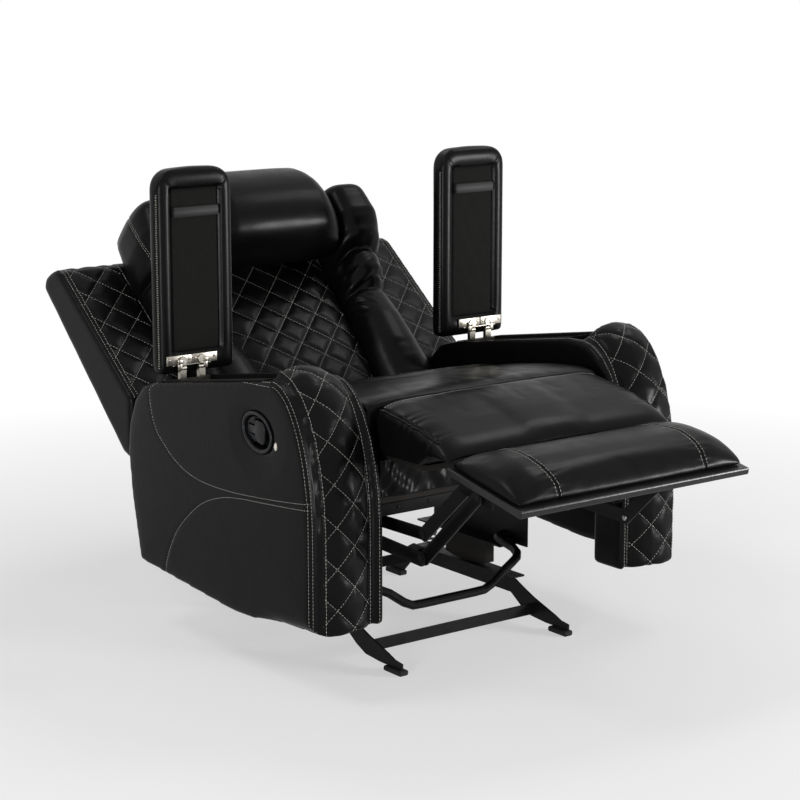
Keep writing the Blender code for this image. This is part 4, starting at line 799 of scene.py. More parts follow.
# A crossing of the front's quilting lines: its distance from the middle plane and along the front line
FRONT_CROSSING = (0.404, 0.0105)
UPPER_ARC = [(0.600, 0.572), (0.625, 0.548), (0.603, 0.479), (0.562, 0.442), (0.502, 0.409), (0.423, 0.391),
             (0.306, 0.390), (0.160, 0.402), (0.024, 0.418)]
LOWER_ARC = [(0.579, 0.147), (0.551, 0.210), (0.507, 0.271), (0.424, 0.336), (0.345, 0.368), (0.268, 0.382),
             (0.160, 0.392), (0.024, 0.405)]
HANDLE_CENTRE = (0.200, 0.534)


class RECLINER_OT_arms(bpy.types.Operator):
    """Cover both arms: smooth outer sides, quilted fronts and double seams"""

    bl_idname = "recliner.arms"
    bl_label = "Arms"

    def execute(self, context):
        for side, sign in SIDES:
            self.cover(side, sign)
        return {"FINISHED"}

    def cover(self, side, sign):
        """One arm's leather cover and its stitching."""
        nodes = [f"arm_{part}_{side}" for part in ("outer_panel", "front_pad", "inner_panel", "rear_pad")]
        skin = skin_over(f"arm_cover_{side}", nodes, ARM_VOXEL)
        relax(skin, 4)
        sharp = points_of(skin)
        round_edge(skin, sign, EDGE_ROUND)
        share = np.interp(sharp[:, 1] - ARM_FRONT_Y, (0.150, 0.230), (1.0, 0.12))[:, None]
        put_points(skin, sharp + (points_of(skin) - sharp) * share)
        relax(skin, 3)
        self.pad_side(skin, sign)
        FRONT.quilt(skin, (QUILT_SEAM_X, BAND_SEAM_X), FRONT_CROSSING, (0.030, 0.010), 0.02)

        tree = surface_tree(skin)
        seams = []
        for x in (BAND_SEAM_X, QUILT_SEAM_X, WRAP_SEAM_X):
            seams += lay(tree, *FRONT.guide(sign * x))
        seams += self.side_seam(tree, sign, SIDE_SEAM_INSET)
        press_seams(skin, seams, sizes().seam_depth, 2.6 * MM)
        press_seams(skin, self.arcs(tree, sign), 1.0 * MM, 3.5 * MM)

        tree = surface_tree(skin)
        rows = []
        for x in (BAND_SEAM_X - 0.0055, QUILT_SEAM_X - 0.005, WRAP_SEAM_X - 0.005):
            rows += lay(tree, *FRONT.guide(sign * x))
        for inset in (SIDE_SEAM_INSET - 0.005, SIDE_SEAM_INSET + 0.004):
            rows += self.side_seam(tree, sign, inset)
        rows += self.arcs(tree, sign) + self.quilt_rows(tree, sign)
        sew(f"arm_stitches_{side}", rows, "rocker_frame")
        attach(skin, "rocker_frame")
        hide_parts(*nodes)

    def side_seam(self, tree, sign, inset):
        """The seam down the side's front edge, and rearward along its top edge to the lid."""
        outside = Vector((-sign, 0.0, 0.0))
        top = [at(y, ARM_TOP_Z - (y - ARM_ARC_DEPTH) * ARM_FALL - inset * share, sign * ARM_OUTER_X)
               for y, share in ((HUMP_END_Y, 1.0), (0.262, 0.45))]
        front = lay(tree, FRONT.guide(sign * ARM_OUTER_X, inset=inset)[0], outside)
        return front + lay(tree, dense(top), outside)

    def arcs(self, tree, sign):
        """The two curved seams on the side."""
        runs = []
        for arc in (UPPER_ARC, LOWER_ARC):
            guide = [at(p.y, p.z, sign * ARM_OUTER_X) for p in rounded([(0.0, y, z) for y, z in arc], 160)]
            runs += lay(tree, guide, Vector((-sign, 0.0, 0.0)))
        return runs

    def pad_side(self, skin, sign):
        """Give the outer side the slight crown of its padding."""
        points = points_of(skin)
        inset, _ = outline_inset(points)
        outer = np.clip((sign * points[:, 0] - ARM_OUTER_X + 0.006) / 0.006, 0, 1)
        lift = OUTER_BULGE * outer * (1 - np.exp(-np.maximum(inset - 0.015, 0.0) / 0.06))
        handle = np.hypot(points[:, 1] - ARM_FRONT_Y - HANDLE_CENTRE[0], points[:, 2] - HANDLE_CENTRE[1])
        lift *= np.clip((handle - 0.055) / 0.05, 0, 1)
        points[:, 0] += sign * lift
        put_points(skin, points)

    def quilt_rows(self, tree, sign):
        """The diamond stitch lines of the arm's front and top."""
        lines = FRONT.lattice((QUILT_SEAM_X, BAND_SEAM_X), (0.004, FRONT.length - 0.004), FRONT_CROSSING,
                              sizes().quilt_pitch, sign)
        return [run for guide, aims in lines for run in lay(tree, guide, aims)]


LID_CORNER = 0.052
LID_FACE_Y = 0.600
LID_FOOT_Z = 0.603
LID_HEAD_Z = 1.032
LID_HALF = 0.095
LID_BORDER = 0.034
LID_THICK = 0.045
PANEL_FOOT_Z = 0.633
PANEL_HEAD_Z = 0.986
PANEL_HALF = 0.0605
STRAP_Z = 0.936
STRAP_HALF = 0.0565
# The strap's section as (depth, height), and its stations as (share of its half length, fullness)
STRAP_SECTION = ((0.0055, -0.012), (-0.0040, -0.0105), (-0.0062, -0.006), (-0.0062, 0.006), (-0.0040, 0.0105),
                 (0.0055, 0.012))
STRAP_STATIONS = ((-1.0, 0.55), (-0.985, 0.9), (-0.93, 1.0), (0.93, 1.0), (0.985, 0.9), (1.0, 0.55))


class RECLINER_OT_lids(bpy.types.Operator):
    """Upholster both arm lids: padded border, lining panel, strap, edge seams and hinges"""

    bl_idname = "recliner.lids"
    bl_label = "Arm lids"

    def execute(self, context):
        for side, sign in SIDES:
            self.cover(side, sign)
        return {"FINISHED"}

    def cover(self, side, sign):
        """One lid."""
        body = f"lid_{side}"
        skin = skin_over(f"lid_cover_{side}", [f"arm_lid_{side}"], 4.0 * MM)
        relax(skin, 3)
        low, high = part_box(f"arm_lid_{side}")
        middle = (low.x + high.x) / 2
        points = points_of(skin)
        half = (high.x - low.x) / 2
        aside = np.abs(points[:, 0] - middle) - (half - LID_CORNER)
        above = points[:, 2] - (high.z - LID_CORNER)
        corner = (aside > 0) & (above > 0) & (np.hypot(aside, above) > LID_CORNER)
        keep = LID_CORNER / np.hypot(aside, above)[corner]
        reach = half - LID_CORNER + aside[corner] * keep
        points[corner, 0] = middle + np.sign(points[corner, 0] - middle) * reach
        points[corner, 2] = high.z - LID_CORNER + above[corner] * keep
        # The hide runs on under the hinges to the arm
        points[:, 2] -= 0.018 * np.clip(1 - (points[:, 2] - low.z) / 0.05, 0, 1)
        # The border is a padded roll: fullest along its middle, pressed in at its inner edge
        front = np.clip((ARM_FRONT_Y + LID_FACE_Y + 0.004 - points[:, 1]) / 0.004, 0, 1)
        edge = np.minimum(points[:, 0] - low.x, high.x - points[:, 0])
        edge = np.minimum(edge, high.z - points[:, 2])
        roll = np.sin(np.clip(edge / LID_BORDER, 0, 1) * math.pi) ** 0.6
        points[:, 1] -= front * roll * 2.5 * MM
        rear = np.clip((points[:, 1] - (ARM_FRONT_Y + LID_FACE_Y + LID_THICK - 0.006)) / 0.006, 0, 1)
        points[:, 1] += rear * 5 * MM * (1 - np.exp(-np.maximum(edge, 0) / 0.03))
        put_points(skin, points)
        relax(skin, 2)
        inflate(skin, 1.2, 3 * MM, frames=10)
        # The recess stays behind its lining
        points = points_of(skin)
        recess = np.abs(points[:, 0] - middle) < PANEL_HALF + 0.002
        recess &= points[:, 1] < ARM_FRONT_Y + LID_FACE_Y + 0.02
        recess &= (points[:, 2] > PANEL_FOOT_Z - 0.002) & (points[:, 2] < PANEL_HEAD_Z + 0.002)
        points[recess, 1] = np.maximum(points[recess, 1], ARM_FRONT_Y + LID_FACE_Y + 0.0105)
        put_points(skin, points)

        tree = surface_tree(skin)
        face_y = ARM_FRONT_Y + LID_FACE_Y
        inward = Vector((0.0, 1.0, 0.0))
        seams = []
        for way in (-1, 1):
            corner = Vector((middle + way * 0.061, face_y, PANEL_HEAD_Z))
            outer = Vector((middle + way * 0.086, face_y, LID_HEAD_Z - 0.018))
            seams += lay(tree, dense([corner, outer]), inward)
        press_seams(skin, seams, 2.2 * MM, 2.2 * MM)
        edges = self.edge_runs(tree, middle, (0.011,), LID_FOOT_Z + 0.010, LID_HEAD_Z - 0.050)
        press_seams(skin, edges, 1.8 * MM, 2.2 * MM)
        rows = self.edge_runs(surface_tree(skin), middle, (0.0075, 0.0105), LID_FOOT_Z - 0.004,
                              LID_HEAD_Z - LID_CORNER)
        sew(f"lid_stitches_{side}", rows, body, length=2.4 * MM, gap=2.6 * MM, width=1.5 * MM)
        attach(skin, body)
        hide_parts(f"arm_lid_{side}")
        self.lining(side, middle, face_y, body)
        self.hinges(side, body)

    def edge_runs(self, tree, middle, depths, foot, head):
        """Lines up both edges of a lid, at some depths behind its face."""
        runs = []
        for way in (-1, 1):
            for deep in depths:
                ends = [Vector((middle + way * LID_HALF, ARM_FRONT_Y + LID_FACE_Y + deep, z)) for z in (foot, head)]
                runs += lay(tree, dense(ends), Vector((-way, 0.0, 0.0)))
        return runs

    def lining(self, side, middle, face_y, body):
        """The lining panel in the recess and the strap across it."""
        columns, rows = 14, 40
        points = []
        for row in range(rows + 1):
            z = PANEL_FOOT_Z + (PANEL_HEAD_Z - PANEL_FOOT_Z) * row / rows
            for column in range(columns + 1):
                u = column / columns
                x = middle - PANEL_HALF + 2 * PANEL_HALF * u
                edge = min(u, 1 - u, row / rows * 3, (1 - row / rows) * 3)
                wave = 1.5 * MM * math.sin(z * 61 + 9 * u) * math.sin(u * 11 + z * 17)
                wave += 0.9 * MM * math.sin(z * 140 + 4 * u + 2 * math.sin(z * 23))
                y = face_y + 0.0075 - 2.2 * MM * (1 - math.exp(-edge * 9)) + wave * min(1, edge * 6)
                points.append((x, y, z))
        panel = piece_of(f"lid_lining_{side}", points, grid_faces(rows + 1, columns + 1), "non_woven_lining")
        modify(panel, "SOLIDIFY", thickness=1.0 * MM, offset=-1.0)
        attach(panel, body)

        strap_points = [(middle + share * STRAP_HALF, face_y + 0.0055 + (deep - 0.0055) * keep,
                         STRAP_Z + lift * (0.85 + 0.15 * keep))
                        for share, keep in STRAP_STATIONS for deep, lift in STRAP_SECTION]
        strap_faces = tube_faces(len(STRAP_STATIONS), len(STRAP_SECTION))
        strap = piece_of(f"lid_strap_{side}", strap_points, strap_faces, "woven_webbing")
        modify(strap, "BEVEL", width=1.2 * MM, segments=2)
        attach(strap, body)

    def hinges(self, side, body):
        """Pressed detail over the nickel hinges: plates with round ears, cup rims, screws and knuckles."""
        cups = f"lid_hinge_cups_{side}"
        for node in (cups, f"lid_hinge_arms_{side}"):
            dress(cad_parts[node], "nickel_plated_steel")
        low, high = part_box(cups)
        plate_y = low.y + 0.006
        data = bmesh.new()
        middle = (low.x + high.x) / 2
        for offset in (-0.0325, 0.0325):
            centre = Vector((middle + offset, plate_y, (low.z + high.z) / 2))
            rounded_box(data, centre + Vector((0.0, -0.0012, 0.0015)), (0.0315, 0.0013, 0.0105), 0.0010)
            ring_bar(data, centre, Vector((0.0, -1.0, 0.0)), 0.0105, 0.0018)
            for way in (-1, 1):
                head = centre + Vector((way * 0.0245, -0.0025, 0.003))
                screw_head(data, head, Vector((0.0, -1.0, 0.0)), 0.0036, 0.0016)
            rounded_box(data, centre + Vector((0.0, -0.0055, -0.002)), (0.0062, 0.0022, 0.0052), 0.0012)
            rounded_box(data, centre + Vector((0.0, -0.0040, -0.0125)), (0.0050, 0.0030, 0.0085), 0.0014)
        detail = piece_of_data(f"hinge_detail_{side}", data, "nickel_plated_steel")
        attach(detail, body)


def join_rings(data, rings, looped=False):
    """A skin over rings of places, added to a mesh. Its last ring joins its first, or both ends are filled."""
    made = [[data.verts.new(place) for place in ring] for ring in rings]
    for ring, following in zip(made, made[1:] + made[:1] if looped else made[1:]):
        for step in range(len(ring)):
            after = (step + 1) % len(ring)
            data.faces.new((ring[step], ring[after], following[after], following[step]))
    if not looped:
        data.faces.new(made[0][::-1])
        data.faces.new(made[-1])


def ways_round(out, count):
    """Directions all round an axis."""
    across = out.orthogonal().normalized()
    other = out.cross(across)
    return [math.cos(angle) * across + math.sin(angle) * other
            for angle in np.linspace(0, 2 * math.pi, count, endpoint=False)]


def ring_bar(data, centre, out, radius, thick):
    """A round bar bent into a ring, added to a mesh."""
    tilts = [-2 * math.pi * step / 8 for step in range(8)]
    join_rings(data, [[centre + way * (radius + thick * math.cos(tilt)) + out * thick * math.sin(tilt)
                       for tilt in tilts] for way in ways_round(out, 24)], looped=True)


def screw_head(data, centre, out, radius, high):
    """A domed screw or rivet head with a slight flat, added to a mesh."""
    dome = ((1.0, -0.3), (1.0, 0.25), (0.86, 0.68), (0.55, 0.95), (0.25, 1.0))
    join_rings(data, [[centre + way * radius * share + out * high * lift for way in ways_round(out, 16)]
                      for share, lift in dome])


def rounded_box(data, centre, half, edge):
    """A block with rounded edges, added to a mesh."""
    made = bmesh.ops.create_cube(data, size=1.0)
    for vert in made["verts"]:
        vert.co = Vector((centre.x + vert.co.x * 2 * half[0], centre.y + vert.co.y * 2 * half[1],
                          centre.z + vert.co.z * 2 * half[2]))
    lines = list({line for vert in made["verts"] for line in vert.link_edges})
    bmesh.ops.bevel(data, geom=lines, offset=edge, segments=2, affect="EDGES", profile=0.5)


BACK_VOXEL = 5.5 * MM
WING_SEAM_X = 0.457
WING_INNER_X = 0.321
WING_CROSSING = (0.389, 0.02)
# The two long seams down the rear panel: down the back, out of its face, and across
REAR_SEAM = ((-0.005, -0.10, 0.300), (0.30, -0.12, 0.285), (0.47, -0.13, 0.280))
CENTRE_END = 0.560
CENTRE_HEAD = 0.100
CENTRE_UPPER = 0.030
CENTRE_TOP_HALF = 0.2085
CENTRE_LOW_HALF = 0.142
CENTRE_THICK = 0.046
# Where a crossing of the quilting lines lies down the back
CENTRE_CROSSING = 0.012


def centre_half(down):
    """Half width of the quilted centre at a distance down the back."""
    rise = (CENTRE_END - down) / (CENTRE_END - CENTRE_HEAD)
    return CENTRE_LOW_HALF + (CENTRE_TOP_HALF - CENTRE_LOW_HALF) * rise


def back_places(points):
    """Each point's distance down the back and out of its face."""
    top = np.array(list(at(*BACK_TOP)))
    from_top = points - top
    return -from_top @ np.array(BACK_ALONG), from_top @ np.array(BACK_OUT)


class RECLINER_OT_back(bpy.types.Operator):
    """Cover the winged back shell and sew its quilted wings"""

    bl_idname = "recliner.back"
    bl_label = "Back shell"

    def execute(self, context):
        skin = skin_over("back_cover", ["back_shell"], BACK_VOXEL)
        relax(skin, 5)
        FACE.quilt(skin, (WING_INNER_X, WING_SEAM_X), WING_CROSSING, (0.022, 0.008), 0.03)
        self.pad_rear(skin)

        tree = surface_tree(skin)
        seams = []
        for sign in (-1, 1):
            for x in (WING_SEAM_X, WING_INNER_X):
                seams += lay(tree, *FACE.guide(sign * x))
        rear = self.rear_lines()
        for line in rear:
            seams += lay(tree, line, BACK_OUT, 0.25)
        press_seams(skin, seams, sizes().seam_depth, 2.8 * MM)
        tree = surface_tree(skin)
        rows = []
        for sign in (-1, 1):
            for x in (WING_SEAM_X + 0.005, WING_SEAM_X - 0.005, WING_INNER_X - 0.005):
                rows += lay(tree, *FACE.guide(sign * x))
            lines = FACE.lattice((WING_INNER_X, WING_SEAM_X), (0.004, FACE.length - 0.012), WING_CROSSING,
                                 sizes().quilt_pitch, sign)
            rows += [row for guide, aims in lines for row in lay(tree, guide, aims)]
        for line in rear:
            beside = [place + Vector((0.005, 0.0, 0.0)) for place in line]
            rows += lay(tree, beside, BACK_OUT, 0.25)
        sew("back_stitches", rows, "back")
        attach(skin, "back")
        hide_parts("back_shell")
        return {"FINISHED"}

    def pad_rear(self, skin):
        """Round the back panel slightly between its side seams."""
        points = points_of(skin)
        down, out = back_places(points)
        rear = np.clip((-0.07 - out) / 0.01, 0, 1) * np.clip(down / 0.05, 0, 1)
        crown = np.cos(np.clip(np.abs(points[:, 0]) / 0.475, 0, 1) * math.pi / 2)
        points -= np.outer(rear * crown * 5 * MM, np.array(BACK_OUT))
        put_points(skin, points)

    def rear_lines(self):
        """The two long seams down the back panel."""
        return [dense([on_back(down, out, sign * x) for down, out, x in REAR_SEAM]) for sign in (-1, 1)]


class RECLINER_OT_centre_pad(bpy.types.Operator):
    """Build the diamond-quilted centre of the back"""

    bl_idname = "recliner.centre_pad"
    bl_label = "Quilted centre"

    def execute(self, context):
        pitch = sizes().quilt_pitch
        rows = 120
        columns = 100
        row_shares = np.linspace(0, 1, rows + 1)[:, None]
        across = np.linspace(-1, 1, columns + 1)[None, :]
        down = CENTRE_END - (CENTRE_END - CENTRE_UPPER) * row_shares
        half = centre_half(down)
        x = across * half
        crown = (1 - np.abs(across) ** 5) * (1 - np.abs(2 * row_shares - 1) ** 7)
        height = puff(x / pitch, (down - CENTRE_CROSSING) / pitch, pitch, sizes().quilt_height * 1.15)
        out = CENTRE_THICK * (0.36 + 0.64 * crown ** 0.6) + height * np.clip(crown * 3, 0, 1)
        points = []
        for row in range(rows + 1):
            for column in range(columns + 1):
                points.append(on_back(float(down[row, 0]), float(out[row, column]), float(x[row, column])))
        faces = grid_faces(rows + 1, columns + 1)
        wide = columns + 1
        base = len(points)
        rim = ([column for column in range(wide)] + [row * wide + columns for row in range(1, rows + 1)]
               + [rows * wide + column for column in range(columns - 1, -1, -1)]
               + [row * wide for row in range(rows - 1, 0, -1)])
        for index in rim:
            row, column = divmod(index, wide)
            points.append(on_back(float(down[row, 0]), 0.5 * MM, float(x[row, column]) * 0.985))
        for index in range(len(rim)):
            after = (index + 1) % len(rim)
            faces.append((rim[index], base + index, base + after, rim[after]))
        faces.append(tuple(base + index for index in range(len(rim) - 1, -1, -1)))
        pad = piece_of("back_centre_quilt", points, faces, "bonded_leather")
        bring_out(pad)

        tree = surface_tree(pad)
        aim = -BACK_OUT
        low = (CENTRE_UPPER + 0.006 - CENTRE_CROSSING) / pitch
        high = (CENTRE_END - 0.004 - CENTRE_CROSSING) / pitch
        wide_u = (CENTRE_TOP_HALF - 0.004) / pitch
        stitched = []
        for line in lattice_lines((-wide_u, wide_u), (low, high), lambda u, v: (u, v), 0.04):
            guide = [on_back(v * pitch + CENTRE_CROSSING, 0.09, u * pitch) for u, v in line
                     if abs(u * pitch) < centre_half(v * pitch + CENTRE_CROSSING) - 0.004]
            stitched += lay(tree, guide, aim, 0.12)
        sew("back_centre_stitches", stitched, "back")
        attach(pad, "back")
        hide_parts("back_centre_pad")
        return {"FINISHED"}


def bring_out(made):
    """Turn every face of a closed piece outward."""
    data = bmesh.new()
    data.from_mesh(made.data)
    bmesh.ops.recalc_face_normals(data, faces=data.faces)
    data.to_mesh(made.data)
    data.free()
    made.data.update()


EAR_PLEAT = 0.140
WAIST_PLEAT = 0.243
WAIST_SLANT = 0.24


def smooth_step(values, low, high):
    """Zero below low, one above high, and smooth between them."""
    share = np.clip((values - low) / (high - low), 0, 1)
    return share * share * (3 - 2 * share)


class RECLINER_OT_bolsters(bpy.types.Operator):
    """Fill the side bolsters and head ears, with the pleats between them"""

    bl_idname = "recliner.bolsters"
    bl_label = "Bolsters and ears"

    def execute(self, context):
        for side, sign in SIDES:
            skin = self.padding(side, sign)
            tree = surface_tree(skin)
            press_seams(skin, self.ear_seam(tree, sign, 0.0), 2.2 * MM, 2.6 * MM)
            tree = surface_tree(skin)
            rows = self.ear_seam(tree, sign, -0.005) + self.ear_seam(tree, sign, 0.005)
            sew(f"ear_stitches_{side}", rows, "back")
            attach(skin, "back")
            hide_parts(f"side_bolster_{side}")
        return {"FINISHED"}

    def gauge(self, side, sign):
        """The solid bolster's inner and outer edge, its height and its base, at places down the back."""
        rough = skin_over(f"bolster_gauge_{side}", [f"side_bolster_{side}"], 5.0 * MM)
        points = points_of(rough)
        bpy.data.objects.remove(rough)
        down, out = back_places(points)
        across = points[:, 0] * sign
        stations = np.arange(down.min() + 0.024, down.max() - 0.008, 0.006)
        rows = []
        for station in stations:
            near = np.abs(down - station) < 0.007
            rows.append((across[near].min(), across[near].max(), out[near].max(), out[near].min()))
        return down.min(), down.max(), stations, np.array(rows).T

    def padding(self, side, sign):
        """A stuffed tube whose section follows the solid bolster, drawn in at its pleats."""
        head, foot, stations, (inner, outer, proud, base) = self.gauge(side, sign)
        before = np.linspace(head, foot, 400)
        after = before + 0.031 * smooth_step(before, 0.02, 0.09) * (1 - smooth_step(before, 0.27, 0.42))
        after += 0.050 * smooth_step(before, 0.42, 0.51)
        down = np.linspace(after[0], after[-1], 220)
        source = np.interp(down, after, before)
        inner, outer, proud, base = (np.interp(source, stations, row) for row in (inner, outer, proud, base))
        inner = inner - 0.021 * (1 - 0.6 * smooth_step(down, 0.08, 0.17))
        outer = outer + np.interp(down, (-0.04, 0.0, 0.05, 0.11, 0.16, 0.2),
                                  (-0.012, -0.008, 0.0, 0.010, 0.004, 0.0))
        cap = (1 - (1 - np.clip((down - down[0]) / 0.050, 0.03, 1)) ** 3.2) ** (1 / 3.2)
        cap *= np.sqrt(1 - (1 - np.clip((down[-1] - down) / 0.030, 0.03, 1)) ** 2)
        middle, half = (inner + outer) / 2, (outer - inner) / 2 * (0.25 + 0.75 * cap)
        around = 72
        turn = np.linspace(0, math.pi, around)
        power = 2 / (3.6 - 1.3 * smooth_step(down, 0.06, 0.15))[:, None]
        side_share = -np.sign(np.cos(turn)) * np.abs(np.cos(turn)) ** power
        lift_share = np.clip(np.sin(turn), 0, 1) ** power
        across = middle[:, None] + half[:, None] * side_share
        out = base[:, None] + (proud * cap - base)[:, None] * lift_share
        downs = np.repeat(down[:, None], around, axis=1)
        dent = self.dents(across, downs) * np.clip(lift_share * 2.5, 0, 1)
        points = [on_back(float(d), float(o), float(sign * x)) for d, o, x in
                  zip(downs.ravel(), out.ravel(), across.ravel())]
        skin = piece_of(f"bolster_{side}", points, tube_faces(len(down), around), "bonded_leather")
        bring_out(skin)
        relax(skin, 5)
        raise_points(skin, dent.ravel())
        relax(skin, 1)
        return skin

    def dents(self, across, down):
        """How far the hide stands out or draws in around the two pleats."""
        from_ear = down - EAR_PLEAT - 0.003 * np.sin(across * 45)
        from_waist = down - WAIST_PLEAT + WAIST_SLANT * (across - 0.16) - 0.003 * np.sin(across * 60 + 1)
        dent = np.zeros(across.shape)
        for away, deep, upper, lower, shift in ((from_ear, 8.0, 5.0, 2.5, 0.0), (from_waist, 7.0, 3.0, 2.5, 1.3)):
            dent -= deep * MM * np.exp(-np.abs(away) / 0.0055)
            dent += upper * MM * np.exp(-((away + 0.017) / 0.015) ** 2)
            dent += lower * MM * np.exp(-((away - 0.015) / 0.012) ** 2)
            gathers = np.sin(across * 205 + 2.0 * np.sin(across * 61 + shift) + shift)
            dent += 0.8 * MM * gathers * np.exp(-np.abs(away) / 0.020) * (1 - np.exp(-np.abs(away) / 0.006))
        between = smooth_step(from_ear, 0.006, 0.02) * smooth_step(-from_waist, 0.006, 0.02)
        ripple = np.sin(2 * math.pi * (down + 0.22 * (across - 0.2) + 0.006 * np.sin(across * 50)) / 0.027)
        dent += 0.9 * MM * ripple * between
        fan = np.sin(2 * math.pi * (0.8 * down - 0.9 * (across - 0.17)) / 0.027)
        fan *= np.exp(-((from_waist - 0.040) / 0.028) ** 2) * np.clip((0.265 - across) / 0.07, 0, 1)
        return dent + 1.6 * MM * fan

    def ear_seam(self, tree, sign, shift):
        """The seam down the ear's outer shoulder."""
        row = []
        aims = []
        for index in range(60):
            down = -0.030 + 0.155 * index / 59
            place = on_back(down, 0.26, sign * 0.47)
            row.append(place)
            aims.append((on_back(down, 0.085, sign * (0.272 + shift)) - place).normalized())
        return lay(tree, row, aims, 0.4, 0.02)


def cord_of(name, lines, radius, finish):
    """A round cord along rows of places."""
    curve = bpy.data.curves.new(name, "CURVE")
    curve.dimensions = "3D"
    curve.bevel_depth = radius
    curve.bevel_resolution = 3
    curve.use_fill_caps = True
    for line in lines:
        spline = curve.splines.new("POLY")
        spline.points.add(len(line) - 1)
        for point, place in zip(spline.points, line):
            point.co = (*place, 1.0)
    made = bpy.data.objects.new(name, curve)
    bpy.context.scene.collection.objects.link(made)
    curve.materials.append(LOOKS[finish])
    return made


# The pillow's own axis: down the back and out of its face, and its two half depths
ROLL_CENTRE = (-0.035, 0.149)
ROLL_HALVES = (0.125, 0.098)


class RECLINER_OT_pillow(bpy.types.Operator):
    """Fill the round headrest pillow and draw in its end seams"""

    bl_idname = "recliner.pillow"
    bl_label = "Headrest pillow"

    def execute(self, context):
        skin = skin_over("headrest_roll", ["headrest_pillow"], 5.0 * MM)
        relax(skin, 10)
        points = points_of(skin)
        down, out = back_places(points)
        points[:, 0] *= 0.905
        off_down, off_out = (down - ROLL_CENTRE[0]) / ROLL_HALVES[0], (out - ROLL_CENTRE[1]) / ROLL_HALVES[1]
        size = np.hypot(off_down, off_out)
        # A section between a circle and a square
        flat = (np.abs(off_down / size) ** 2.7 + np.abs(off_out / size) ** 2.7) ** (-1 / 2.7) * 0.975 - 1
        points += np.outer(-off_down * ROLL_HALVES[0] * flat, np.array(BACK_ALONG))
        points += np.outer(off_out * ROLL_HALVES[1] * flat, np.array(BACK_OUT))
        down, out = back_places(points)
        near_end = np.clip((np.abs(points[:, 0]) - 0.125) / 0.085, 0, 1) ** 1.6
        drawn = np.clip(out - 0.05, 0, None) * 0.42 * near_end
        put_points(skin, points - np.outer(drawn, np.array(BACK_OUT)))
        inflate(skin, 0.8, 2 * MM, frames=8, calm=4)
        relax(skin, 2)
        tree = surface_tree(skin)
        seams = []
        for sign in (-1, 1):
            ring = []
            aims = []
            for turn in range(121):
                angle = 2 * math.pi * turn / 120
                reach = math.cos(angle) * BACK_ALONG + math.sin(angle) * BACK_OUT
                ring.append(on_back(*ROLL_CENTRE, sign * 0.186) + reach * 0.16)
                aims.append(-reach)
            seams += lay(tree, ring, aims, 0.14)
        press_seams(skin, seams, 2.4 * MM, 2.6 * MM, gather=0.5 * MM, spacing=0.02, reach=0.015)
        refine(skin)
        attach(skin, "back")
        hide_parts("headrest_pillow")
        return {"FINISHED"}


SEAT_FRONT_Y = 0.070
# Sit-marks as (across, how far they lean, length)
SEAT_MARKS = ((-0.21, 0.03, 0.10), (-0.13, -0.02, 0.13), (-0.05, 0.03, 0.09), (0.03, -0.03, 0.12),
              (0.11, 0.02, 0.10), (0.18, -0.03, 0.13), (0.24, 0.02, 0.08))
CHAISE_MARKS = ((-0.23, 0.02, 0.07), (-0.15, -0.01, 0.10), (-0.07, 0.02, 0.06), (0.02, -0.02, 0.09),
                (0.10, 0.02, 0.07), (0.19, -0.02, 0.10))
DOWN = Vector((0.0, 0.0, -1.0))


def top_row(tree, places, aim=DOWN, reach=0.1):
    """A guide laid on to a cushion from above."""
    return lay(tree, dense(places), aim, reach, 0.03)


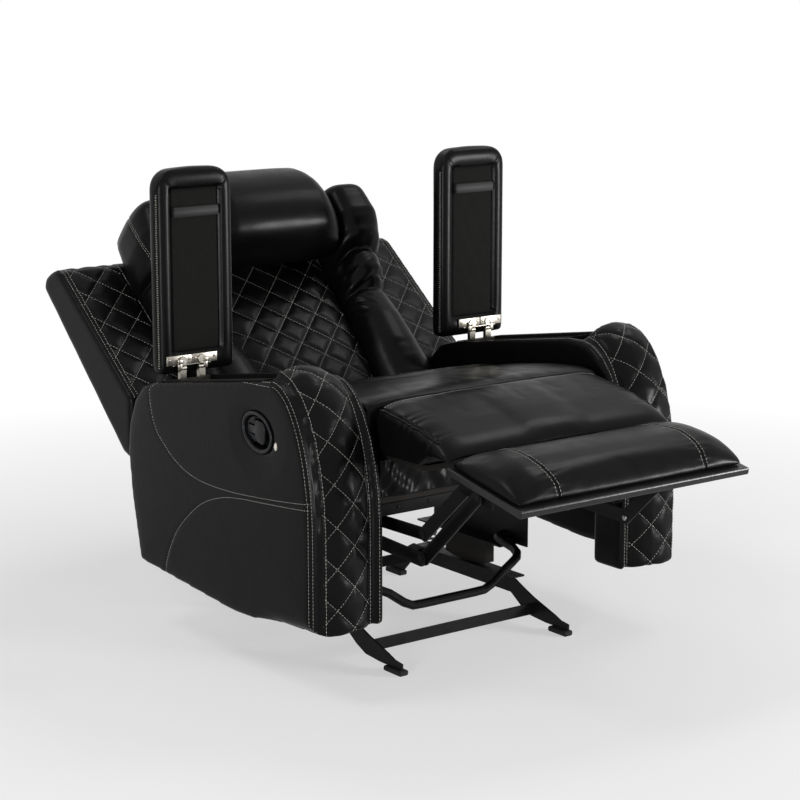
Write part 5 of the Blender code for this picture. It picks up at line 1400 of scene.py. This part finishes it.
class RECLINER_OT_seat(bpy.types.Operator):
    """Fill the seat cushion, sew its quilted rear, and join it to the back"""

    bl_idname = "recliner.seat"
    bl_label = "Seat"

    def execute(self, context):
        skin = skin_over("seat_pad", ["seat_cushion"], 6.0 * MM)
        relax(skin, 6)
        points = points_of(skin)
        hold = np.clip((0.465 - points[:, 2]) / 0.02, 0, 1)
        front = np.exp(-((points[:, 1] - at(SEAT_FRONT_Y, 0).y) / 0.012) ** 2)
        inflate(skin, 1.6, 7 * MM, np.maximum(hold, front * 0.8), slack=0.004)
        refine(skin)
        tree = surface_tree(skin)
        rear = top_row(tree, [at(0.46, 0.62, -0.29), at(0.455, 0.62, 0.0), at(0.46, 0.62, 0.29)])
        diamonds = self.diamonds(tree)
        puckers = self.pucker_lines(tree)
        press_seams(skin, rear, 3.0 * MM, 4.0 * MM, gather=1.0 * MM, spacing=0.03)
        press_seams(skin, diamonds, 3.0 * MM, 7.0 * MM)
        press_seams(skin, puckers, 0.9 * MM, 12.0 * MM)
        sew("seat_stitches", self.diamonds(surface_tree(skin)), "seat_carriage")
        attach(skin, "seat_carriage")
        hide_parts("seat_cushion")
        self.joiner()
        return {"FINISHED"}

    def diamonds(self, tree):
        """The quilting lines of the seat's rear."""
        pitch = sizes().quilt_pitch
        rows = []
        for line in lattice_lines((-0.29 / pitch, 0.29 / pitch), (0.465 / pitch, 0.585 / pitch),
                                  lambda u, v: at(v * pitch, 0.62, u * pitch)):
            rows += top_row(tree, line)
        return rows

    def pucker_lines(self, tree):
        """Soft sit-marks that run back from the front seam."""
        lines = []
        for x, lean, length in SEAT_MARKS:
            lines += top_row(tree, [at(SEAT_FRONT_Y + 0.02, 0.64, x),
                                    at(SEAT_FRONT_Y + 0.02 + length, 0.64, x + lean)])
        return lines

    def joiner(self):
        """The leather fold that closes the gap between the seat's rear and the back."""
        columns = 72
        shape = [(0.560, 0.498), (0.585, 0.502), (0.600, 0.492), (0.612, 0.472), (0.626, 0.462), (0.640, 0.470),
                 (0.648, 0.488), (0.655, 0.502)]
        curve = rounded([(0.0, y, z) for y, z in shape], 26)
        half = 0.285
        points = []
        for column in range(columns + 1):
            share = 2 * column / columns - 1
            sag = 0.010 * (1 - share ** 4)
            ripple = 1.2 * MM * math.sin(column * 0.9) + 0.8 * MM * math.sin(column * 2.3 + 1)
            for index, place in enumerate(curve):
                middle = math.sin(math.pi * index / 25)
                points.append(at(place.y, place.z - 0.006 + (ripple - sag * 0.4) * middle, share * half))
        fold = piece_of("seat_back_fold", points, grid_faces(columns + 1, len(curve)), "bonded_leather")
        modify(fold, "SOLIDIFY", thickness=1.2 * MM, offset=-1.0)
        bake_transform(fold)


class RECLINER_OT_chaise(bpy.types.Operator):
    """Fill the chaise flap's pad and sew its edge piping"""

    bl_idname = "recliner.chaise"
    bl_label = "Chaise flap"

    def execute(self, context):
        skin = skin_over("chaise_cover", ["chaise_pad"], 4.6 * MM)
        relax(skin, 5)
        points = points_of(skin)
        low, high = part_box("chaise_pad")
        edge = np.minimum(points[:, 0] - low.x, high.x - points[:, 0])
        hold = np.clip((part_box("chaise_board")[1].z + 0.008 - points[:, 2]) / 0.006, 0, 1)
        hold = np.maximum(hold, np.exp(-(edge / 0.008) ** 2) * 0.8)
        hold = np.maximum(hold, np.clip((points[:, 1] - high.y + 0.012) / 0.01, 0, 1))
        inflate(skin, 1.6, 5 * MM, hold, slack=0.003)
        refine(skin)
        points = points_of(skin)
        nose = np.clip((at(-0.118, 0).y - points[:, 1]) / 0.052, 0, 1)
        points[:, 2] -= 0.013 * nose ** 2
        aside = np.clip((np.abs(points[:, 0]) - 0.240) / 0.058, 0, 1) ** 2.2
        points[:, 2] -= 0.009 * aside * np.clip((points[:, 2] - low.z) / 0.05, 0, 1)
        points[:, 1] -= 0.007 * nose
        put_points(skin, points)
        tree = surface_tree(skin)
        pipes = []
        for sign in (-1, 1):
            pipes += top_row(tree, self.pipe_line(sign, 0.2885, 0.286, -0.128), reach=0.2)
        folds = []
        for x, lean, length in CHAISE_MARKS:
            folds += top_row(tree, [at(0.055, 0.66, x), at(0.055 - length, 0.66, x + lean)], reach=0.2)
        press_seams(skin, pipes, 2.4 * MM, 3.0 * MM, gather=0.7 * MM, spacing=0.026)
        press_seams(skin, folds, 0.7 * MM, 12.0 * MM)
        tree = surface_tree(skin)
        rows = top_row(tree, [at(0.052, 0.66, -0.290), at(0.052, 0.66, 0.290)], reach=0.2)
        sew("chaise_stitches", rows, "chaise_flap")
        lines = []
        for sign in (-1, 1):
            for run in top_row(tree, self.pipe_line(sign, 0.2915, 0.289, -0.132), reach=0.2):
                lines.append([place + normal * 0.6 * MM for place, normal in run])
        piping = cord_of("chaise_piping", lines, 2.2 * MM, "bonded_leather")
        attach(piping, "chaise_flap")
        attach(skin, "chaise_flap")
        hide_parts("chaise_pad")
        dress(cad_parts["chaise_board"], "black_stained_pine")
        return {"FINISHED"}

    def pipe_line(self, sign, wide, end_wide, end_y):
        """The line of the side piping, from the seat to the flap's nose."""
        ends = [at(0.060, 0.66, sign * wide), at(-0.036, 0.66, sign * wide), at(end_y, 0.66, sign * end_wide)]
        return rounded(ends, 60)


FOOT_TOP = 0.0396
FOOT_ARCS = ((0.186, -0.211), (0.193, -0.262), (0.199, -0.302), (0.199, -0.340), (0.198, -0.361),
             (0.195, -0.386))


class RECLINER_OT_footrest(bpy.types.Operator):
    """Fill the footrest pad, sew its curved double seams and wrap its board"""

    bl_idname = "recliner.footrest"
    bl_label = "Footrest"

    def execute(self, context):
        skin = skin_over("footrest_cover", ["footrest_pad"], 4.4 * MM)
        relax(skin, 5)
        points = points_of(skin)
        top = np.array(list(at(*FOOT_PIVOT)))
        lift = (points - top) @ np.array(FOOT_UP) - FOOT_TOP
        hold = np.clip((0.006 - lift) / 0.005, 0, 1)
        inflate(skin, 1.6, 4 * MM, hold, slack=0.003)
        refine(skin)
        points = points_of(skin)
        reach = (points - top) @ np.array(FOOT_ALONG)
        above = np.clip((points - top) @ np.array(FOOT_UP) - FOOT_TOP, 0, None)
        heel = np.clip((0.0 - reach) / 0.06, 0, 1) * np.clip(above / 0.02, 0, 1)
        aside = np.clip((np.abs(points[:, 0]) - 0.225) / 0.075, 0, 1) ** 2
        put_points(skin, points + np.outer(0.007 * heel - 0.42 * aside * above, np.array(FOOT_UP)))
        tree = surface_tree(skin)
        seams = []
        for sign in (-1, 1):
            seams += self.arc(tree, sign, 0.0)
        press_seams(skin, seams, 2.4 * MM, 2.8 * MM, gather=0.5 * MM, spacing=0.025, reach=0.02)
        tree = surface_tree(skin)
        rows = []
        for sign in (-1, 1):
            for shift in (-0.0055, 0.0055):
                rows += self.arc(tree, sign, shift)
        sew("footrest_stitches", rows, "footrest")
        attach(skin, "footrest")
        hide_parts("footrest_pad")
        dress(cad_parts["footrest_board"], "leatherette_wrap")
        return {"FINISHED"}

    def arc(self, tree, sign, shift):
        """One seam across the pad, from under the chaise lip to the front edge."""
        line = [at(y, 0.56, sign * (x + shift)) for x, y in ((0.175, -0.16), *FOOT_ARCS)]
        across = sign * (FOOT_ARCS[-1][0] - 0.001 + shift)
        front = dense([on_foot(0.200, FOOT_TOP + up, across) for up in (0.045, 0.003)])
        seam = top_row(tree, rounded(line, 90), -FOOT_UP, 0.2)
        return seam + lay(tree, front, -FOOT_ALONG, 0.075, 0.03)


class RECLINER_OT_skirt(bpy.types.Operator):
    """Hang the wrinkled leather skirt in front of the seat rail"""

    bl_idname = "recliner.skirt"
    bl_label = "Front skirt"

    def execute(self, context):
        half = 0.292
        turn = 0.030
        columns = 160
        rows = 26
        head = 0.4735
        foot = 0.392
        front = 0.0625
        points = []
        for column in range(columns + 1):
            share = 2 * column / columns - 1
            reach = share * (half + turn)
            for row in range(rows + 1):
                fall = row / rows
                z = head + (foot - head) * fall
                rumple = 0.35 + 0.65 * max(0.0, abs(share) - 0.55) / 0.45
                fold = 5.0 * MM * math.sin(column * 0.21 + 1.9 * math.sin(fall * 4.1)) * fall ** 0.6
                fold += 3.4 * MM * math.sin(column * 0.47 - 6.5 * fall + math.sin(column * 0.13))
                fold += 2.0 * MM * math.sin(column * 0.83 + 9.0 * fall + 2.0 * math.sin(column * 0.05))
                fold *= rumple
                if abs(reach) <= half:
                    points.append(at(front - 2.0 * MM + fold * 0.9, z, reach))
                else:
                    deep = abs(reach) - half
                    points.append(at(front + deep, z, math.copysign(half + fold * 0.4, reach)))
        skirt = piece_of("front_skirt", points, grid_faces(columns + 1, rows + 1), "bonded_leather")
        modify(skirt, "SOLIDIFY", thickness=1.2 * MM, offset=0.0)
        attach(skirt, "seat_carriage")
        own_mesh(skirt)
        return {"FINISHED"}


# How much wider each pressed link is than the plain solid
LINKS = (("lower_link", 1.45), ("upper_link", 1.45), ("control_link", 1.3), ("follower_link", 1.5))
# Which finish CAD nodes show; a name ending in _ has a right and a left node
NODE_FINISHES = (
    ("powder_painted_steel", ("base_rail_", "rocker_frame_", "seat_plate_", "recline_bracket_", "footrest_bracket_",
                              "lower_link_", "upper_link_", "control_link_", "follower_link_", "front_cross_tube",
                              "front_crossbar", "rear_crossbar")),
    ("moulded_rubber", ("rubber_foot_front_", "rubber_foot_rear_")),
    ("black_stained_pine", ("rocker_cam_", "seat_front_rail", "seat_rear_rail")),
    ("oiled_spring_steel", ("rocker_spring_", "seat_spring_deck")),
    ("non_woven_lining", ("storage_box_",)),
)


class RECLINER_OT_steelwork(bpy.types.Operator):
    """Paint the steel mechanism and base, finish the rubber feet and other CAD nodes, press wider links, and add
    rivets and a screwed steel angle
    """

    bl_idname = "recliner.steelwork"
    bl_label = "Steelwork"

    def execute(self, context):
        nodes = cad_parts
        for finish, names in NODE_FINISHES:
            for name in names:
                for node in [name + side for side, _ in SIDES] if name.endswith("_") else [name]:
                    dress(nodes[node], finish)
        for node in nodes.values():
            if not node.hide_render and not node.data.materials[0].name.startswith(tuple(LOOKS)):
                dress(node, "powder_painted_steel")
        for side, _ in SIDES:
            for part, wide in LINKS:
                self.pressed_link(f"{part}_{side}", f"{part}s_{side}", wide)
        self.rivets()
        self.rail_angle()
        return {"FINISHED"}

    def world_points(self, node):
        """A CAD node's points where they stand in the scene."""
        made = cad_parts[node]
        return np.array([list(made.matrix_world @ vertex.co) for vertex in made.data.vertices])

    def pressed_link(self, node, body, wide):
        """A link as pressed from wider strip than the plain solid, about the same centre line."""
        points = self.world_points(node)
        flat = points[:, 1:3] - points[:, 1:3].mean(axis=0)
        _, _, ways = np.linalg.svd(flat, full_matrices=False)
        points[:, 1:3] += np.outer(flat @ ways[1] * (wide - 1), ways[1])
        faces = [tuple(face.vertices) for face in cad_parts[node].data.polygons]
        made = piece_of(f"pressed_{node}", points, faces, "powder_painted_steel", smooth=False)
        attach(made, body)
        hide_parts(node)

    def rail_angle(self):
        """The steel angle along the bottom of the seat's front rail."""
        low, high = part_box("seat_front_rail")
        data = bmesh.new()
        middle = (low.y + high.y) / 2
        rounded_box(data, Vector((0.0, low.y - 0.002, low.z + 0.010)), (0.283, 0.0015, 0.013), 0.0008)
        rounded_box(data, Vector((0.0, middle, low.z - 0.002)), (0.283, (high.y - low.y) / 2, 0.0015), 0.0008)
        for place in range(7):
            centre = Vector((-0.24 + 0.08 * place, low.y - 0.0035, low.z + 0.012))
            screw_head(data, centre, Vector((0.0, -1.0, 0.0)), 4.5 * MM, 1.6 * MM)
        angle = piece_of_data("seat_rail_angle", data, "powder_painted_steel")
        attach(angle, "seat_carriage")

    def rivets(self):
        """Bright rivet heads where the links turn."""
        for side, sign in SIDES:
            for part in ("lower_link", "control_link", "upper_link", "follower_link"):
                data = bmesh.new()
                low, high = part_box(f"{part}_{side}")
                face = low.x if sign > 0 else high.x
                for centre in self.ends(part, side):
                    screw_head(data, Vector((face, *centre)), Vector((-sign, 0.0, 0.0)), 6.2 * MM, 2.0 * MM)
                heads = piece_of_data(f"{part}_rivets_{side}", data, "zinc_plated_rivet")
                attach(heads, f"{part}s_{side}")

    def ends(self, part, side):
        """The two pivots of a link, at the ends of its longest run."""
        points = self.world_points(f"{part}_{side}")[:, 1:3]
        far = np.linalg.norm(points - points.mean(axis=0), axis=1)
        first = points[far.argmax()]
        second = points[np.linalg.norm(points - first, axis=1).argmax()]
        run = (second - first) / np.linalg.norm(second - first)
        return [first + run * 0.010, second - run * 0.010]


HANDLE_TILT = math.radians(-14.0)
# The flange's section as (in from its outer edge, out from the arm's side)
FLANGE_SECTION = ((0.0050, -0.001), (0.0042, 0.0018), (0.0022, 0.0028), (-0.0008, 0.0028), (-0.0026, 0.0018),
                  (-0.0032, -0.001))
LEVER_OUTLINE = ((0.2350, 0.5455), (0.2132, 0.5445), (0.212, 0.554), (0.207, 0.558), (0.188, 0.556),
                 (0.181, 0.552), (0.178, 0.545), (0.178, 0.519), (0.181, 0.512), (0.187, 0.509), (0.206, 0.513),
                 (0.211, 0.518), (0.2132, 0.5280), (0.2355, 0.5290))


def in_bezel(y, z):
    """The side-view place of a point in the tilted bezel, from its centre."""
    return (HANDLE_CENTRE[0] + y * math.cos(HANDLE_TILT) + z * math.sin(HANDLE_TILT),
            HANDLE_CENTRE[1] - y * math.sin(HANDLE_TILT) + z * math.cos(HANDLE_TILT))


class RECLINER_OT_handle(bpy.types.Operator):
    """Finish the recline handle and its oval bezel"""

    bl_idname = "recliner.handle"
    bl_label = "Recline handle"

    def execute(self, context):
        dress(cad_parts["recline_handle_bezel"], "moulded_abs")
        data = bmesh.new()
        join_rings(data, [[at(*in_bezel(-(0.052 - draw_in) * math.cos(angle), (0.038 - draw_in) * math.sin(angle)),
                              -ARM_OUTER_X - out) for draw_in, out in FLANGE_SECTION]
                          for angle in np.linspace(0, 2 * math.pi, 64, endpoint=False)], looped=True)
        bmesh.ops.recalc_face_normals(data, faces=data.faces)
        flange = piece_of_data("handle_flange", data, "moulded_abs")
        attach(flange, "rocker_frame")
        rear = []
        for step in range(33):
            angle = -math.pi / 2 + math.pi * step / 32
            rear.append(in_bezel(0.043 * math.cos(angle), -0.029 * math.sin(angle)))
        low_end, high_end = (rear[0], rear[-1]) if rear[0][1] < rear[-1][1] else (rear[-1], rear[0])
        if rear[0][1] > rear[-1][1]:
            rear.reverse()
        slot_out = [(0.214, high_end[1]), (0.214, 0.547), (0.236, 0.549), (0.237, 0.527), (0.214, 0.524),
                    (0.214, low_end[1])]
        plate = plate_of("handle_plate", rear + slot_out, -ARM_OUTER_X + 0.0030, 4 * MM, "moulded_abs")
        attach(plate, "rocker_frame")
        lever = plate_of("handle_lever", LEVER_OUTLINE, -ARM_OUTER_X + 0.0018, 5.5 * MM, "moulded_abs")
        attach(lever, "handle_lever")
        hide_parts("recline_handle")
        data = bmesh.new()
        bmesh.ops.create_uvsphere(data, u_segments=20, v_segments=12, radius=1.0)
        for vertex in data.verts:
            vertex.co = at(0.133 + vertex.co.y * 0.0045, 0.516 + vertex.co.z * 0.0085,
                           -ARM_OUTER_X - 0.0005 + vertex.co.x * 0.004)
        clip = piece_of_data("handle_clip", data, "moulded_nylon")
        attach(clip, "rocker_frame")
        return {"FINISHED"}


def plate_of(name, outline, face_x, thick, finish):
    """A flat plate from its side-view outline, with softened edges."""
    data = bmesh.new()
    face = data.faces.new([data.verts.new(at(y, z, face_x)) for y, z in outline])
    body = bmesh.ops.extrude_face_region(data, geom=[face])
    for part in body["geom"]:
        if isinstance(part, bmesh.types.BMVert):
            part.co.x += math.copysign(thick, -face_x)
    bmesh.ops.recalc_face_normals(data, faces=data.faces)
    made = piece_of_data(name, data, finish, smooth=False)
    modify(made, "BEVEL", width=0.9 * MM, segments=2, limit_method="ANGLE")
    return made


CAMERA_PLACE = (-2.9489, -3.9018, 1.5243)
CAMERA_AZIMUTH = 0.6458
CAMERA_PITCH = 0.2038
CAMERA_LENS = 101.67
# Name, place, target, width and height in metres, and watts
LAMPS = (
    ("over_left_lamp", (-1.9, 0.25, 3.1), (0.0, 0.0, 0.4), (0.9, 0.9), 20.0),
    ("over_right_lamp", (1.9, 0.1, 3.1), (0.0, 0.0, 0.4), (0.9, 0.9), 14.0),
    ("right_lamp", (2.5, -2.8, 0.65), (0.0, 0.0, 0.6), (0.8, 0.9), 130.0),
    ("left_lamp", (-3.5, -2.4, 0.64), (0.0, 0.0, 0.5), (0.35, 1.1), 80.0),
    ("rear_lamp", (0.6, 2.8, 3.4), (0.0, 0.2, 0.6), (1.0, 1.0), 8.0),
)


class RECLINER_OT_stage(bpy.types.Operator):
    """Set the floor, the soft lamps, the white surround and the camera"""

    bl_idname = "recliner.stage"
    bl_label = "Stage"

    def execute(self, context):
        scene = context.scene
        scene.view_settings.view_transform = "Standard"
        LOOKS["white_floor"] = self.pale_floor()
        floor = piece_of("floor", [(-9, -9, 0), (9, -9, 0), (9, 9, 0), (-9, 9, 0)], [(0, 1, 2, 3)], "white_floor")

        world = bpy.data.worlds.new("white_surround")
        scene.world = world
        world.use_nodes = True
        tree = world.node_tree
        background = tree.nodes["Background"]
        background.inputs["Color"].default_value = (1.0, 1.0, 1.0, 1.0)
        strength = add_node(tree, "ShaderNodeMapRange", {"Value": self.seen(tree), "To Min": 0.24, "To Max": 1.0})
        tree.links.new(strength.outputs["Result"], background.inputs["Strength"])

        for name, place, target, (width, height), power in LAMPS:
            lamp = bpy.data.lights.new(name, "AREA")
            lamp.shape = "RECTANGLE"
            lamp.size = width
            lamp.size_y = height
            lamp.energy = power
            made = bpy.data.objects.new(name, lamp)
            made.location = place
            made.rotation_euler = (Vector(target) - Vector(place)).to_track_quat("-Z", "Y").to_euler()
            scene.collection.objects.link(made)

        view = bpy.data.cameras.new("photo_view")
        view.lens = CAMERA_LENS
        view.sensor_width = 36.0
        view.clip_end = 60.0
        camera = bpy.data.objects.new("photo_view", view)
        camera.location = CAMERA_PLACE
        ahead = Vector((math.sin(CAMERA_AZIMUTH) * math.cos(CAMERA_PITCH),
                        math.cos(CAMERA_AZIMUTH) * math.cos(CAMERA_PITCH), -math.sin(CAMERA_PITCH)))
        camera.rotation_euler = ahead.to_track_quat("-Z", "Y").to_euler()
        view.shift_y = -1.0 / 800
        scene.collection.objects.link(camera)
        scene.camera = camera
        return {"FINISHED"}

    def seen(self, tree):
        """One for a ray from the camera, a reflection or through glass, and zero for the light's own rays."""
        path = add_node(tree, "ShaderNodeLightPath").outputs
        share = path["Is Camera Ray"]
        for other in ("Is Glossy Ray", "Is Transmission Ray"):
            share = add_node(tree, "ShaderNodeMath", {0: share, 1: path[other]}, operation="MAXIMUM").outputs[0]
        return share

    def pale_floor(self):
        """A white studio floor that keeps the shadow near the recliner and runs into the surround away from it."""
        made = bpy.data.materials.new("white_floor")
        made.use_nodes = True
        tree = made.node_tree
        shader = tree.nodes["Principled BSDF"]
        shader.inputs["Base Color"].default_value = (0.86, 0.86, 0.86, 1.0)
        shader.inputs["Roughness"].default_value = 0.9
        shader.inputs["Specular IOR Level"].default_value = 0.0
        place = add_node(tree, "ShaderNodeTexCoord").outputs["Object"]
        away = add_node(tree, "ShaderNodeVectorMath", {0: place}, operation="LENGTH").outputs["Value"]
        fade = add_node(tree, "ShaderNodeMapRange", {"Value": away, "From Min": 0.9, "From Max": 2.6,
                                                     "To Min": 0.5, "To Max": 1.0}).outputs["Result"]
        share = add_node(tree, "ShaderNodeMath", {0: fade, 1: self.seen(tree)}, operation="MULTIPLY")
        white = add_node(tree, "ShaderNodeEmission", {"Color": (1.0, 1.0, 1.0, 1.0), "Strength": 1.0})
        joined = add_node(tree, "ShaderNodeMixShader", {0: share.outputs[0], 1: shader.outputs["BSDF"],
                                                        2: white.outputs["Emission"]})
        tree.links.new(joined.outputs["Shader"], tree.nodes["Material Output"].inputs["Surface"])
        return made


class RECLINER_PT_panel(bpy.types.Panel):
    """Sizes, colours and steps of the recliner"""

    bl_idname = "RECLINER_PT_panel"
    bl_label = "Rocker recliner"
    bl_space_type = "VIEW_3D"
    bl_region_type = "UI"
    bl_category = "Recliner"

    def draw(self, context):
        for group in (context.scene.recliner_sizes, context.scene.recliner_colours):
            box = self.layout.box()
            for name in group.bl_rna.properties.keys():
                if name not in ("rna_type", "name"):
                    box.prop(group, name)
        for operator in OPERATORS:
            self.layout.operator(operator.bl_idname)


OPERATORS = (RECLINER_OT_stage, RECLINER_OT_arms, RECLINER_OT_lids, RECLINER_OT_back, RECLINER_OT_centre_pad,
             RECLINER_OT_bolsters, RECLINER_OT_pillow, RECLINER_OT_seat, RECLINER_OT_chaise, RECLINER_OT_footrest,
             RECLINER_OT_skirt, RECLINER_OT_handle, RECLINER_OT_steelwork)
CLASSES = (ReclinerSizes, ReclinerColours, *OPERATORS, RECLINER_PT_panel)


def register():
    """Add the recliner's sizes, colours, steps and panel to Blender."""
    for added in CLASSES:
        bpy.utils.register_class(added)
    bpy.types.Scene.recliner_sizes = bpy.props.PointerProperty(type=ReclinerSizes)
    bpy.types.Scene.recliner_colours = bpy.props.PointerProperty(type=ReclinerColours)


def unregister():
    """Take them out again."""
    del bpy.types.Scene.recliner_sizes
    del bpy.types.Scene.recliner_colours
    for added in reversed(CLASSES):
        bpy.utils.unregister_class(added)


def main():
    """Run every step in order."""
    register()
    make_finishes()
    for operator in OPERATORS:
        group, name = operator.bl_idname.split(".")
        getattr(getattr(bpy.ops, group), name)()
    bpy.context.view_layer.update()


if __name__ == "__main__":
    main()
